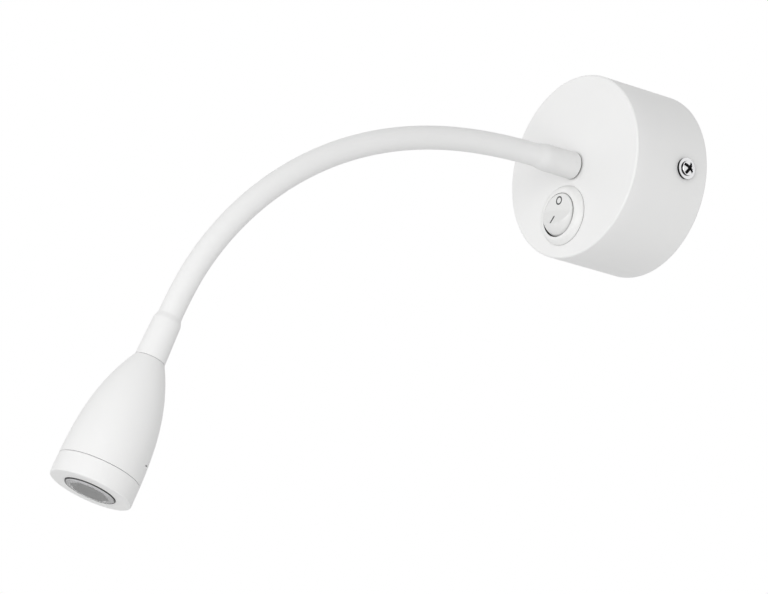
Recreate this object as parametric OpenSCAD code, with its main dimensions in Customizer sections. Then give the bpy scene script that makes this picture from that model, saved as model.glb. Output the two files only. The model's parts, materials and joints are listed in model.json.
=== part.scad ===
// Wall light: round base cup, flexible arm and bell-shaped LED head.
// Millimetres. The origin is the middle of the wall face, +Z is up, -Y points away from the wall
// and +X is to the right of someone who faces the wall. The arm lies in the plane x = 0, and the head
// turns a little out of it.

/* [Base cup] */
// Outside diameter of the cup
base_d = 70; // [70:1:90]
// Depth of the cup from the wall to its face
base_h = 35; // [35:0.5:45]
// Wall of the cup
base_wall = 1.5; // [1:0.1:1.8]
// Rounding of the edge round the face
base_edge_r = 0.9; // [0.3:0.1:1]

/* [Wall plate] */
// Width of the strap
strap_w = 14; // [12:0.5:15]
// Thickness of the strap
strap_t = 1.5; // [1:0.1:2]
// Inside radius of the strap's bends
strap_bend_r = 1; // [0.5:0.1:2]
// How far the strap is turned from level
strap_turn = 9.6; // [0:0.2:12]
// Height of the bent ends above the wall
tab_h = 17; // [15:0.5:20]
// Distance between the two holes for the wall screws
wall_hole_pitch = 48; // [46:0.5:50]
// Diameter of the holes for the wall screws
wall_hole_d = 4.5; // [4:0.1:5]
// Diameter of the hole for the supply cable
cable_hole_d = 10; // [8:0.5:10]
// Place of the cable hole along the strap
cable_hole_x = 8; // [7:0.5:12]

/* [Side screws] */
// Thread diameter of the side screws
screw_d = 4; // [3:0.5:4]
// Length of the side screws under the head
screw_l = 7; // [5:0.5:9]
// Diameter of the flange under the screw heads
screw_head_d = 8; // [7:0.1:8.5]
// Thickness of the flange
screw_flange_t = 1; // [0.6:0.1:1.1]
// Diameter of the domed heads on their flanges
screw_pan_d = 5.4; // [5:0.1:6.4]
// Height of the screw heads with their flanges
screw_head_h = 2.7; // [1.8:0.1:3]
// How far the cross recesses are turned
screw_turn = 60; // [0:1:90]
// Distance of the side screws from the wall
screw_from_wall = 11; // [9:0.5:12]

/* [Terminal block] */
// Length of the block along the strap
block_l = 13; // [12:0.5:13.5]
// Width of the block across the strap
block_w = 13; // [11:0.5:13]
// Height of the block
block_h = 12; // [10:0.5:13]
// Place of the block's middle along the strap
block_x = -12; // [-12.5:0.5:-11.5]
// Diameter of the wire holes
block_hole_d = 3.2; // [2.6:0.1:3.6]

/* [Driver] */
// Width of the LED driver
driver_w = 36; // [28:1:36]
// Height of the LED driver
driver_h = 17.5; // [14:0.5:17.5]
// Depth of the LED driver
driver_l = 20; // [16:0.5:20]
// Lower face of the driver above the axis of the cup
driver_rise = 9.6; // [9.2:0.1:10]
// Thickness of the foam pad that holds the driver
pad_t = 1; // [0.5:0.1:1.5]

/* [Switch] */
// Distance of the switch below the arm
switch_drop = 18.8; // [18.5:0.1:19.5]
// How far the switch is turned in its hole
switch_turn = 5; // [-15:1:15]
// Diameter of the body behind the face
switch_body_d = 19.8; // [19.6:0.1:20]
// Depth of the body behind the face
switch_body_h = 14; // [13.8:0.1:15]
// Diameter of the bezel
bezel_d = 22.8; // [22:0.1:23.4]
// Height of the bezel above the face
bezel_h = 2.6; // [2:0.1:3]
// Height of the bezel at its outer edge
bezel_edge_h = 0.8; // [0.5:0.1:1.2]
// Radius of the ball that the rocker is a slice of
rocker_r = 8.9; // [8.8:0.05:8.9]
// Gap between the rocker and the room that it turns in
rocker_gap = 0.6; // [0.4:0.05:0.6]
// Depth of the rocker's pivot below the face
rocker_depth = 1.5; // [1.2:0.1:1.6]
// Distance from the pivot to the rocker's two faces
rocker_face = 4.5; // [4.2:0.1:4.6]
// Tilt of the rocker to each side of the middle
rocker_tilt = 13; // [10:0.5:14]
// Diameter of the rocker's pivot pins
pivot_pin_d = 2.4; // [1.8:0.1:2.6]
// Tilt of the contact strip to each side of the middle
contact_tilt = 8; // [5:0.5:8]
// Length of the contact strip
contact_l = 11; // [10:0.5:11.5]
// Width of the switch blades
blade_w = 4.8; // [4:0.1:4.8]
// Thickness of the switch blades
blade_t = 0.8; // [0.5:0.1:1]
// Length of the blades below the switch body
blade_l = 6; // [5:0.5:7]

/* [Arm] */
// Outside diameter of the sleeve
arm_d = 8.7; // [8.3:0.1:9]
// Outside diameter of the hose in the sleeve
hose_d = 6.5; // [6:0.1:6.6]
// Bore of the hose
hose_bore = 4.2; // [4:0.1:4.6]
// Diameter of the lead in the hose
lead_d = 3.6; // [3:0.1:3.7]
// Distance from the face to the first bend
first_bend = 21.2; // [20.5:0.1:24]
// Distance between bends along the arm
link_l = 17.16; // [15:0.01:20]
// Distance from the last bend to the head
last_bend = 30; // [29:0.1:32]
// Angle below level that the arm's curve comes to at the head
arm_bend = 74.5; // [40:0.5:90]
// Angle of the head below level
head_drop = 72.4; // [40:0.1:90]
// How far the head is turned sideways out of the arm's plane
head_turn = 3.6; // [-10:0.2:10]
// How much of the bend lies towards the head
bend_power = 1.46; // [1:0.02:2]
// Gap between one link's ball and the next link's socket
link_gap = 0.25; // [0.2:0.01:0.4]
// Radius of the balls that the links turn on
ball_r = 4.8; // [4.7:0.05:5]

/* [Arm ends] */
// Diameter of the sleeve over the root ferrule
root_d = 10.7; // [10.4:0.1:11.4]
// Length of the thick root end from the face
root_l = 18.2; // [15.5:0.1:19]
// Diameter of the sleeve where the tip ferrule starts
tip_d = 10.3; // [10.2:0.1:11]
// Diameter of the sleeve at the head
tip_end_d = 11.2; // [10.8:0.1:11.6]
// Length of the thick tip end from the head
tip_l = 17.6; // [17:0.1:18.5]
// Length of the soft step down to the thin sleeve
end_taper = 3; // [2:0.1:3.5]
// Wall of the sleeve where it is stretched over the ferrules
stretch_wall = 0.8; // [0.6:0.05:0.9]
// Diameter of the ferrules' threaded studs
stud_d = 8; // [7.6:0.1:8]
// Length of the root stud behind the face
root_stud_l = 8.5; // [7:0.5:9.5]
// Length of the tip stud in the head
tip_stud_l = 6.8; // [5:0.1:7]
// Depth of the hose in each ferrule
hose_seat_l = 10; // [6:0.5:11]
// Width across the flats of the root nut
nut_w = 13; // [12:0.5:13]
// Height of the root nut
nut_h = 4; // [3:0.5:4.5]
// Outside diameter of the root washer
washer_d = 15; // [13.5:0.5:15.5]
// Thickness of the root washer
washer_t = 0.8; // [0.5:0.1:1]

/* [Head] */
// Length of the head from the neck to the front
head_l = 51; // [49:0.5:58]
// Diameter of the head at the front
head_d = 30.4; // [30.2:0.1:34]
// Diameter of the head at the neck
neck_d = 11.2; // [11:0.1:12]
// How quickly the bell swells
bell_power = 2.9; // [2.4:0.05:3]
// Length of the front ring
ring_l = 7.8; // [7.5:0.1:8.6]
// Gap that shows as the seam behind the front ring
seam_gap = 0.2; // [0.1:0.05:0.4]
// Diameter of the opening in front of the lens
opening_d = 19; // [17:0.1:19.6]
// Thickness of the front ring's lip
lip_t = 1.6; // [1.2:0.1:2]
// Rounding of the front ring's outer edge
ring_edge_r = 0.6; // [0.3:0.1:1]
// Radius of the head's inside in front of the heat sink
chamber_r = 12.2; // [11.9:0.1:12.3]
// Length of the spigot that the front ring fits over
spigot_l = 4.4; // [3.5:0.1:5]
// Wall of the spigot
spigot_wall = 1; // [0.8:0.1:1.2]
// Distance of the heat sink from the neck
sink_z = 27; // [26.5:0.1:27.5]
// Thickness of the heat sink
sink_t = 6.3; // [5:0.1:7]
// Wall of the heat sink's skirt
skirt_wall = 1.1; // [0.8:0.1:1.2]
// Thickness of the LED board
board_t = 1.6; // [1:0.1:2]
// Radius of the LED board
board_r = 9.5; // [9:0.1:9.8]
// Radius of the LED's base
chip_r = 3.5; // [3.2:0.1:3.6]
// Thickness of the LED's base
chip_t = 1; // [0.8:0.1:1.2]
// Radius of the LED's dome
dome_r = 2.6; // [2.2:0.1:2.8]
// Depth of the lens's well over the LED's base
well_d = 2.8; // [2.7:0.1:3.2]
// Radius of the lens at its back
lens_back_r = 4.6; // [4.5:0.1:4.8]
// Radius of the lens holder
holder_r = 10.8; // [10.5:0.1:10.9]
// Wall of the holder's nose round the lens
nose_wall = 0.2; // [0.2:0.05:0.8]
// How far the nose and the lens's rim stand in front of the ring
lens_proud = 0.35; // [0.2:0.05:0.6]
// Length of the lens's cylindrical rim
lens_rim_l = 4.4; // [3.5:0.1:5]
// Width of the lens's sloping border
border_w = 1.9; // [1:0.1:2.5]
// How far the lens's flat middle stands in front of its rim
border_h = 0.25; // [0.1:0.05:0.4]
// Thread diameter of the set screw
grub_d = 3; // [2:0.5:3]
// Place of the set screw behind the seam
grub_back = 7.1; // [2.2:0.1:8]
// How far round the head the set screw sits
grub_turn = -39; // [-60:1:0]
// Width of the set screw's slot
grub_slot_w = 0.45; // [0.3:0.05:0.6]
// Depth of the set screw's slot
grub_slot_d = 0.8; // [0.5:0.1:1]

/* [Hidden] */
// Gap at parts that slide into each other
slip = 0.1;
// Gap at pins that turn, at threads and where a wire meets its terminal
run = 0.05;
// Overlap of cutting shapes
cut = 1;
// Sides of a round shape on the screen
$fn = 64;

// Base places
base_r = base_d / 2;
inner_r = base_r - base_wall;
face_inner = base_h - base_wall;
strap_clear = 0.3;
strap_half = sqrt(pow(inner_r, 2) - pow(strap_w / 2, 2)) - strap_clear;
pole_x = [block_x - block_l / 4, block_x + block_l / 4];
block_entry = strap_t + block_h * 0.4;
peg_d = 3;
driver_top = face_inner - pad_t;
driver_back = driver_top - driver_l;
wire_d = 1.8;
// How far the base's wires bow out, how deep they sit in the block and where they enter the driver
wire_bow = 9;
long_bow = 11;
short_bow = 4;
block_seat = 2;
right_entry = 9;
left_entry = -10.5;

// Switch places, measured from the face of the cup
pivot_z = -rocker_depth;
cavity_r = rocker_r + rocker_gap;
bezel_opening = sqrt(pow(cavity_r, 2) - pow(bezel_h + rocker_depth, 2));
chamber_floor = 1.6;
contact_t = 0.5;
plunger_d = 2.4;
plunger_reach = rocker_r - 0.1;
contact_gap = 0.35;
contact_z = pivot_z - plunger_reach - contact_gap - contact_t / 2;
blade_gap = 0.3;
blade_y = [0, contact_l / 2];
blade_nose = 1.2;
stem_d = 5;
stem_reach = plunger_reach - 2.6;

// Arm places
joints = 11;
sleeve_bore = hose_d + 2 * slip;
socket_r = ball_r + link_gap;
// Angle below level of link k, where link 0 is the root end
function link_angle(k) = arm_bend * pow(k / joints, bend_power);
// Unit vector along link k
function link_way(k) = [0, -cos(link_angle(k)), -sin(link_angle(k))];
// Bend k, from 1 next to the base to 11 next to the head
function bend_at(k) = k == 1 ? [0, -base_h - first_bend, 0] : bend_at(k - 1) + link_l * link_way(k - 1);

// Head places, measured from the neck along the head
seam_z = head_l - ring_l;
// Outside radius of the head at distance z from the neck
function bell_r(z) = neck_d / 2 + (head_d - neck_d) / 2 * (1 - pow(1 - z / head_l, bell_power));
lip_z = head_l - lip_t;
nose_r = opening_d / 2 - slip;
lens_r = nose_r - nose_wall - slip;
lens_front = head_l + lens_proud;
lens_rim = lens_front - lens_rim_l;
sink_front = sink_z + sink_t;
board_front = sink_front + board_t;
skirt_front = seam_z - 1;
skirt_r = chamber_r - slip;
spigot_r = chamber_r + spigot_wall;
chip_clear = 0.4;
lens_back = board_front + 1.2;
head_wire_d = 1.4;
head_wire_r = board_r - 0.4;
lead_end = tip_stud_l + 2;

// Frames

// The base's own frame: x right, y up, z away from the wall
module at_base() { rotate([90, 0, 0]) children(); }

// The strap's frame: x along the strap, y across it
module at_strap() { at_base() rotate([0, 0, strap_turn]) children(); }

// The switch's frame: z = 0 on the face of the cup, y towards the rocker's off end
module at_switch() { at_base() translate([0, -switch_drop, base_h]) rotate([0, 0, switch_turn]) children(); }

// Frame of link k: the bend before it at the origin, z along the link
module at_link(k) { translate(bend_at(k)) rotate([90 + link_angle(k), 0, 0]) children(); }

// The head's frame: the neck at the origin, z towards the front; the head turns about the last bend
module at_head() {
    translate(bend_at(joints)) rotate([90 + head_drop, 0, 0]) rotate([0, head_turn, 0])
        translate([0, 0, last_bend]) children();
}

// Shapes that repeat

// Round hole or pin along z from z1 to z2
module rod(d, z1, z2) { translate([0, 0, z1]) cylinder(d = d, h = z2 - z1); }

// Block centred on x and y, from z1 to z2
module bar(x, y, z1, z2) { translate([-x / 2, -y / 2, z1]) cube([x, y, z2 - z1]); }

// Flat outline with four round corners
module round_square(w, h, r) {
    square([w - 2 * r, h], center = true);
    square([w, h - 2 * r], center = true);
    for (x = [-1, 1], y = [-1, 1]) translate([x * (w / 2 - r), y * (h / 2 - r)]) circle(r);
}

// Everything beyond the ball of radius ball_r round the point at height z
module past_ball(z) {
    translate([0, 0, z]) difference() {
        cylinder(r = socket_r + cut, h = socket_r + cut);
        sphere(ball_r);
    }
}

// Link of the arm: a socket round the first bend, a ball round the next one
module link(d, bore) {
    difference() {
        cylinder(d = d, h = link_l + ball_r);
        sphere(socket_r);
        past_ball(link_l);
        if (bore > 0) rod(bore, -cut, link_l + ball_r + cut);
    }
}

// Point and direction on a cubic curve through p[0] and p[3]
function curve_at(p, t) = pow(1 - t, 3) * p[0] + 3 * t * pow(1 - t, 2) * p[1]
    + 3 * t * t * (1 - t) * p[2] + pow(t, 3) * p[3];
function curve_way(p, t) = pow(1 - t, 2) * (p[1] - p[0]) + 2 * t * (1 - t) * (p[2] - p[1])
    + t * t * (p[3] - p[2]);
function unit(v) = v / norm(v);

// Wire of diameter d along a cubic curve; across is any direction that the wire never takes
module wire(p, d, across, rings = 12, sides = 8) {
    points = [for (i = [0 : rings])
        let (way = unit(curve_way(p, i / rings)), u = unit(cross(across, way)), v = cross(way, u))
        for (j = [0 : sides - 1])
            curve_at(p, i / rings) + d / 2 * (cos(360 * j / sides) * u + sin(360 * j / sides) * v)];
    last = rings * sides;
    skin = [for (i = [0 : rings - 1], j = [0 : sides - 1])
        let (a = i * sides + j, b = i * sides + (j + 1) % sides)
        each [[a, a + sides, b], [b, a + sides, b + sides]]];
    ends = [for (j = [1 : sides - 2])
        each [[0, j, j + 1], [last, last + j + 1, last + j]]];
    polyhedron(points, concat(skin, ends));
}

// Base

module base_cup() {
    color("white") at_base() difference() {
        rotate_extrude() {
            square([base_r - base_edge_r, base_h]);
            square([base_r, base_h - base_edge_r]);
            translate([base_r - base_edge_r, base_h - base_edge_r]) intersection() {
                circle(base_edge_r);
                square(base_edge_r);
            }
        }
        rod(2 * inner_r, -cut, face_inner);
        rod(stud_d + 4 * slip, 0, base_h + cut);
        translate([0, -switch_drop, 0]) rod(switch_body_d + 4 * slip, 0, base_h + cut);
        for (side = [0, 180]) rotate([0, 0, strap_turn + side]) translate([0, 0, screw_from_wall])
            rotate([0, 90, 0]) rod(screw_d + 4 * slip, inner_r - base_wall, base_r + cut);
    }
}

// Side outline of the strap: a flat back with two bent ends
module strap_outline(half, low, bend) {
    translate([-half, low + bend]) square([2 * half, tab_h - low - bend + (low > 0 ? cut : 0)]);
    translate([-half + bend, low]) square([2 * (half - bend), bend]);
    for (x = [-1, 1]) translate([x * (half - bend), low + bend]) circle(bend);
}

module wall_plate() {
    color("silver") at_strap() difference() {
        rotate([90, 0, 0]) linear_extrude(strap_w, center = true) difference() {
            strap_outline(strap_half, 0, strap_bend_r + strap_t);
            strap_outline(strap_half - strap_t, strap_t, strap_bend_r);
        }
        for (x = [-1, 1]) translate([x * wall_hole_pitch / 2, 0, 0]) rod(wall_hole_d, -cut, strap_t + cut);
        translate([cable_hole_x, 0, 0]) rod(cable_hole_d, -cut, strap_t + cut);
        for (x = pole_x) translate([x, 0, 0]) rod(peg_d + 2 * slip, -cut, strap_t + cut);
        translate([0, 0, screw_from_wall]) rotate([0, 90, 0])
            rod(screw_d + 2 * run, -base_r, base_r);
    }
}

// Pan-head screw with a flange and a cross recess, head upwards, seat at z = 0
module pan_screw() {
    dome_rise = (screw_head_h - screw_flange_t) / 2;
    dome = (pow(screw_pan_d / 2, 2) + pow(dome_rise, 2)) / (2 * dome_rise);
    recess = screw_pan_d * 0.64;
    rod(screw_d, -screw_l, screw_flange_t / 2);
    difference() {
        union() {
            rod(screw_head_d, 0, screw_flange_t);
            intersection() {
                rod(screw_pan_d, screw_flange_t / 2, screw_head_h);
                translate([0, 0, screw_head_h - dome]) sphere(dome);
            }
        }
        for (turn = [0, 90]) rotate([0, 0, turn])
            bar(recess, recess / 4, screw_head_h * 0.4, screw_head_h + cut);
    }
}

module side_screws() {
    color("gainsboro") for (side = [0, 180]) at_strap() rotate([0, 0, side])
        translate([base_r + run, 0, screw_from_wall]) rotate([0, 90, 0]) rotate([0, 0, screw_turn]) pan_screw();
}

module terminal_block() {
    color("ivory") at_strap() translate([block_x, 0, 0]) {
        difference() {
            bar(block_l, block_w, strap_t, strap_t + block_h);
            for (x = pole_x) translate([x - block_x, 0, 0]) {
                rod(block_hole_d + 2 * slip, block_entry, strap_t + block_h + cut);
                translate([0, 0, block_entry]) rotate([90, 0, 0])
                    rod(block_hole_d, -block_w / 2 - cut, block_w / 2 + cut);
            }
            bar(block_l / 8, block_w + 2 * cut, strap_t + block_h * 0.7, strap_t + block_h + cut);
        }
        for (x = pole_x) translate([x - block_x, 0, 0]) rod(peg_d, slip, strap_t);
    }
}

module terminal_screws() {
    color("darkgray") at_strap() for (x = pole_x) translate([x, 0, 0]) difference() {
        rod(block_hole_d, block_entry + wire_d / 2 + slip, strap_t + block_h - slip);
        bar(block_hole_d + cut, block_hole_d / 5, strap_t + block_h - 1, strap_t + block_h + cut);
    }
}

module led_driver() {
    color("whitesmoke") at_base() translate([0, driver_rise + driver_h / 2, driver_back]) difference() {
        linear_extrude(driver_l) round_square(driver_w, driver_h, 1.5);
        // Groove where the case's lid closes
        for (side = [-1, 1]) translate([side * driver_w / 2, 0, 0]) bar(0.8, driver_h + cut, 2, 2.6);
    }
}

module driver_pad() {
    color("dimgray") at_base() translate([0, driver_rise + driver_h / 2, 0])
        bar(driver_w - 6, driver_h - 4, driver_top, face_inner);
}

// Switch

module switch_housing() {
    ring_w = bezel_d / 2 - bezel_opening - 0.3;
    rise = bezel_h - bezel_edge_h;
    color("white") at_switch() difference() {
        union() {
            rod(switch_body_d, -switch_body_h, 0.2);
            // Bezel: a flat rim that rolls over to the outer edge
            rotate_extrude() polygon(concat([[0, 0], [0, bezel_h]],
                [for (a = [90 : -15 : 0]) [bezel_d / 2 - ring_w + ring_w * cos(a), bezel_edge_h + rise * sin(a)]],
                [[bezel_d / 2, 0]]));
            // Snap ribs behind the face
            for (side = [0, 180]) rotate([0, 0, side]) translate([switch_body_d / 2 - 0.4, 0, 0])
                bar(1.8, 5, -base_wall - 1.2, -base_wall - slip);
        }
        translate([0, 0, pivot_z]) sphere(cavity_r);
        bar(plunger_d + 2.4, contact_l + 2.2, -switch_body_h + chamber_floor, pivot_z - 6.5);
        translate([0, 0, pivot_z]) rotate([0, 90, 0]) rod(pivot_pin_d + 2 * run, -bezel_d / 2, bezel_d / 2);
        for (y = blade_y) translate([0, y, 0])
            bar(blade_t + slip, blade_w + slip, -switch_body_h - cut, -switch_body_h + chamber_floor + cut);
    }
}

module switch_terminals() {
    nose_top = contact_z - contact_t / 2 - blade_gap;
    end_top = nose_top - blade_y[1] * tan(contact_tilt);
    shoulder = -switch_body_h + chamber_floor;
    color("goldenrod") at_switch() {
        bar(blade_t, blade_w, -switch_body_h - blade_l, shoulder);
        bar(blade_t, blade_nose, shoulder - cut, nose_top);
        translate([0, blade_y[1], 0]) bar(blade_t, blade_w, -switch_body_h - blade_l, min(shoulder, end_top));
        translate([0, blade_y[1], 0]) bar(blade_t, blade_nose, -switch_body_h, end_top);
    }
}

// The rocker's frame: the pivot at the origin, tilted so that the off end is pressed in
module at_rocker() { at_switch() translate([0, 0, pivot_z]) rotate([-rocker_tilt, 0, 0]) children(); }

module switch_rocker() {
    crease = rocker_face / cos(rocker_tilt);
    reach = rocker_r + cut;
    rise = reach * tan(rocker_tilt);
    color("white") at_rocker() difference() {
        union() {
            difference() {
                sphere(rocker_r);
                // Two faces that rise from the middle to the ends
                rotate([90, 0, 90]) linear_extrude(2 * reach, center = true)
                    polygon([[0, crease], [reach, crease + rise], [reach, 2 * reach], [-reach, 2 * reach],
                        [-reach, crease + rise]]);
                bar(2 * reach, 2 * reach, -reach, -rocker_face + 0.3);
            }
            rod(stem_d, -stem_reach, -rocker_face + cut);
            rotate([0, 90, 0]) rod(pivot_pin_d, -switch_body_d / 2 + slip, switch_body_d / 2 - slip);
        }
        rod(plunger_d + 2 * run, -stem_reach - cut, -rocker_face + 0.6);
    }
}

module switch_plunger() {
    color("goldenrod") at_rocker() {
        rod(plunger_d, -plunger_reach + plunger_d / 2, -rocker_face);
        translate([0, 0, -plunger_reach + plunger_d / 2]) sphere(d = plunger_d);
    }
}

module switch_contact() {
    color("peru") at_switch() translate([0, 0, contact_z]) rotate([contact_tilt, 0, 0])
        bar(plunger_d + 0.8, contact_l, -contact_t / 2, contact_t / 2);
}

// Arm

module root_ferrule() {
    body_d = root_d - 2 * stretch_wall - 2 * slip;
    straight = root_l - end_taper;
    color("silver") at_base() translate([0, 0, base_h]) difference() {
        union() {
            rod(stud_d, -root_stud_l, cut);
            rod(body_d, 0, straight);
            translate([0, 0, straight]) cylinder(d1 = body_d, d2 = body_d - 1.2, h = end_taper / 2);
        }
        rod(hose_bore, -root_stud_l - cut, root_l);
        rod(hose_d + 2 * slip, straight + end_taper / 2 - hose_seat_l, root_l + cut);
    }
}

module root_washer() {
    color("silver") at_base() difference() {
        rod(washer_d, face_inner - washer_t, face_inner);
        rod(stud_d + 4 * slip, 0, base_h);
    }
}

module root_nut() {
    nut_front = face_inner - washer_t;
    color("silver") at_base() difference() {
        translate([0, 0, nut_front - nut_h]) cylinder(d = nut_w / cos(30), h = nut_h, $fn = 6);
        rod(stud_d + 2 * run, 0, base_h);
    }
}

// Half outline of a sleeve's thick end: z and outside radius from the ferrule's seat to the thin sleeve
module thick_end(d_seat, d_step, l, total) {
    polygon([[0, 0], [d_seat / 2, 0], [d_step / 2, l - end_taper], [arm_d / 2, l], [arm_d / 2, total], [0, total]]);
}

// Room inside a thick end for the ferrule and the hose
module thick_room(d_seat, d_step, l, total) {
    seat_r = d_seat / 2 - stretch_wall;
    step_r = d_step / 2 - stretch_wall;
    polygon([[0, -cut], [seat_r, -cut], [seat_r, 0], [step_r, l - end_taper], [step_r - 0.6, l - end_taper / 2],
        [sleeve_bore / 2, l], [sleeve_bore / 2, total + cut], [0, total + cut]]);
}

module root_sleeve() {
    total = first_bend + ball_r;
    color("white") at_base() translate([0, 0, base_h + slip]) difference() {
        rotate_extrude() difference() {
            thick_end(root_d, root_d, root_l, total);
            thick_room(root_d, root_d, root_l, total);
        }
        past_ball(first_bend - slip);
    }
}

module root_hose() {
    start = root_l - end_taper / 2 - hose_seat_l + slip;
    color("gray") at_base() translate([0, 0, base_h]) difference() {
        rod(hose_d, start, first_bend + ball_r);
        rod(hose_bore, 0, first_bend + ball_r + cut);
        past_ball(first_bend);
    }
}

// Wires in the base, and the lead from the driver to the first bend
module base_wires() {
    lead_back = base_h - root_stud_l - 1;
    driver_entry = driver_back + 3;
    blade_z = base_h - switch_body_h - blade_l / 2;
    function on_strap(x, y, z) = [x * cos(strap_turn) - y * sin(strap_turn),
        x * sin(strap_turn) + y * cos(strap_turn), z];
    function on_switch(x, y, z) = [x * cos(switch_turn) - y * sin(switch_turn),
        x * sin(switch_turn) + y * cos(switch_turn) - switch_drop, z];
    side = blade_t / 2 + run;
    inside = block_w / 2 - block_seat;
    color("firebrick") at_base() {
        // From the block to the switch
        wire([on_strap(pole_x[0], -inside, block_entry), on_strap(pole_x[0], -block_w / 2 - long_bow, block_entry),
            on_switch(-wire_bow, 0, blade_z), on_switch(-side, 0, blade_z)], wire_d, [1, 1, -1]);
        // From the switch to the driver
        wire([on_switch(side, blade_y[1], blade_z), on_switch(wire_bow, blade_y[1], blade_z),
            [right_entry, driver_rise - wire_bow, driver_entry + 1],
            [right_entry, driver_rise - run, driver_entry + 1]], wire_d, [0, 0, 1]);
        // From the block to the driver
        wire([on_strap(pole_x[1], inside, block_entry), on_strap(pole_x[1], block_w / 2 + short_bow, block_entry),
            [left_entry, driver_rise - short_bow, driver_entry], [left_entry, driver_rise - run, driver_entry]],
            wire_d, [1, 0, 0]);
    }
    color("white") at_base() {
        difference() {
            rod(lead_d, lead_back, base_h + first_bend + ball_r);
            past_ball(base_h + first_bend);
        }
        wire([[0, 0, lead_back - run], [0, 0, lead_back - 8], [0, driver_rise - 7, driver_entry],
            [0, driver_rise - run, driver_entry]], lead_d, [1, 0, 0]);
    }
}

module arm_sleeve(k) { color("white") at_link(k) link(arm_d, sleeve_bore); }

module arm_hose(k) { color("gray") at_link(k) link(hose_d, hose_bore); }

module arm_lead(k) { color("whitesmoke") at_link(k) link(lead_d, 0); }

// Arm end at the head: measured back from the neck

module tip_sleeve() {
    total = last_bend;
    color("white") at_head() difference() {
        translate([0, 0, -slip]) mirror([0, 0, 1]) rotate_extrude() difference() {
            thick_end(tip_end_d, tip_d, tip_l, total);
            thick_room(tip_end_d, tip_d, tip_l, total);
        }
        translate([0, 0, -last_bend]) sphere(socket_r);
    }
}

module tip_hose() {
    color("gray") at_head() difference() {
        rod(hose_d, -last_bend, -tip_l + end_taper / 2 + hose_seat_l - slip);
        rod(hose_bore, -last_bend - cut, 0);
        translate([0, 0, -last_bend]) sphere(socket_r);
    }
}

module tip_ferrule() {
    body_d = tip_end_d - 2 * stretch_wall - 2 * slip;
    step_d = tip_d - 2 * stretch_wall - 2 * slip;
    straight = tip_l - end_taper;
    color("silver") at_head() difference() {
        union() {
            rod(stud_d, -cut, tip_stud_l);
            translate([0, 0, -straight]) cylinder(d1 = step_d, d2 = body_d, h = straight);
            translate([0, 0, -straight - end_taper / 2]) cylinder(d1 = step_d - 1.2, d2 = step_d, h = end_taper / 2);
        }
        rod(hose_bore, -tip_l, tip_stud_l + cut);
        rod(hose_d + 2 * slip, -tip_l - cut, -straight - end_taper / 2 + hose_seat_l);
    }
}

// Head

// Half outline of the bell between two distances from the neck
module bell(z1, z2, steps = 16) {
    polygon(concat([[0, z1]],
        [for (i = [0 : steps]) let (z = z1 + (z2 - z1) * i / steps) [bell_r(z), z]], [[0, z2]]));
}

module head_shell() {
    neck_l = tip_stud_l + 1.2;
    color("white") at_head() difference() {
        union() {
            rotate_extrude() bell(0, seam_z);
            rod(2 * spigot_r, seam_z - cut, seam_z + spigot_l);
        }
        rod(stud_d + 2 * run, -cut, neck_l + cut);
        translate([0, 0, neck_l]) cylinder(r1 = stud_d / 2 + 1.6, r2 = chamber_r - 1.2, h = sink_z - neck_l);
        rod(2 * (chamber_r - 1.2), sink_z - slip, sink_z + cut);
        rod(2 * chamber_r, sink_z, head_l);
        translate([0, 0, seam_z - grub_back]) rotate([0, 0, grub_turn]) rotate([0, 90, 0])
            rod(grub_d + 2 * run, 0, head_d);
    }
}

module heat_sink() {
    color("silver") at_head() difference() {
        rod(2 * skirt_r, sink_z, skirt_front);
        rod(2 * (skirt_r - skirt_wall), sink_front, head_l);
        for (x = [-1, 1]) translate([x * head_wire_r, 0, 0]) rod(head_wire_d + 4 * slip, 0, head_l);
    }
}

module led_board() {
    color("whitesmoke") at_head() difference() {
        rod(2 * board_r, sink_front, board_front);
        for (turn = [0 : 60 : 300]) rotate([0, 0, turn]) translate([head_wire_r + 0.4, 0, 0])
            rod(head_wire_d + 8 * slip, sink_front - cut, board_front + cut);
    }
}

module led_chip() {
    color("khaki") at_head() {
        rod(2 * chip_r, board_front, board_front + chip_t);
        translate([0, 0, board_front + chip_t - 0.4]) intersection() {
            sphere(dome_r);
            rod(2 * dome_r, 0.2, dome_r + cut);
        }
    }
}

module lens() {
    color("lightcyan") at_head() difference() {
        union() {
            translate([0, 0, lens_back]) cylinder(r1 = lens_back_r, r2 = lens_r, h = lens_rim - lens_back);
            rod(2 * lens_r, lens_rim, lens_front);
            translate([0, 0, lens_front]) cylinder(r1 = lens_r, r2 = lens_r - border_w, h = border_h);
        }
        rod(2 * (chip_r + chip_clear), 0, board_front + chip_t + well_d);
    }
}

// Cup round the lens, with a shoulder behind the ring's lip and a nose through the opening
module lens_holder() {
    color("black") at_head() difference() {
        union() {
            rod(2 * holder_r, board_front + run, lip_z - slip);
            rod(2 * nose_r, lip_z - cut, lens_front);
        }
        translate([0, 0, lens_back]) cylinder(r1 = lens_back_r + slip, r2 = lens_r + slip, h = lens_rim - lens_back);
        rod(2 * (lens_back_r + slip), board_front - cut, lens_back + slip);
        rod(2 * (lens_r + slip), lens_rim - slip, lens_front + cut);
    }
}

module front_ring() {
    color("white") at_head() difference() {
        rotate_extrude() difference() {
            bell(seam_z + seam_gap, head_l, 8);
            translate([head_d / 2 - ring_edge_r, head_l - ring_edge_r]) difference() {
                square(2 * ring_edge_r);
                circle(ring_edge_r);
            }
        }
        rod(2 * (spigot_r + slip), 0, seam_z + spigot_l + slip);
        rod(2 * (holder_r + 2 * slip), 0, lip_z);
        rod(opening_d, 0, head_l + cut);
    }
}

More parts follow.
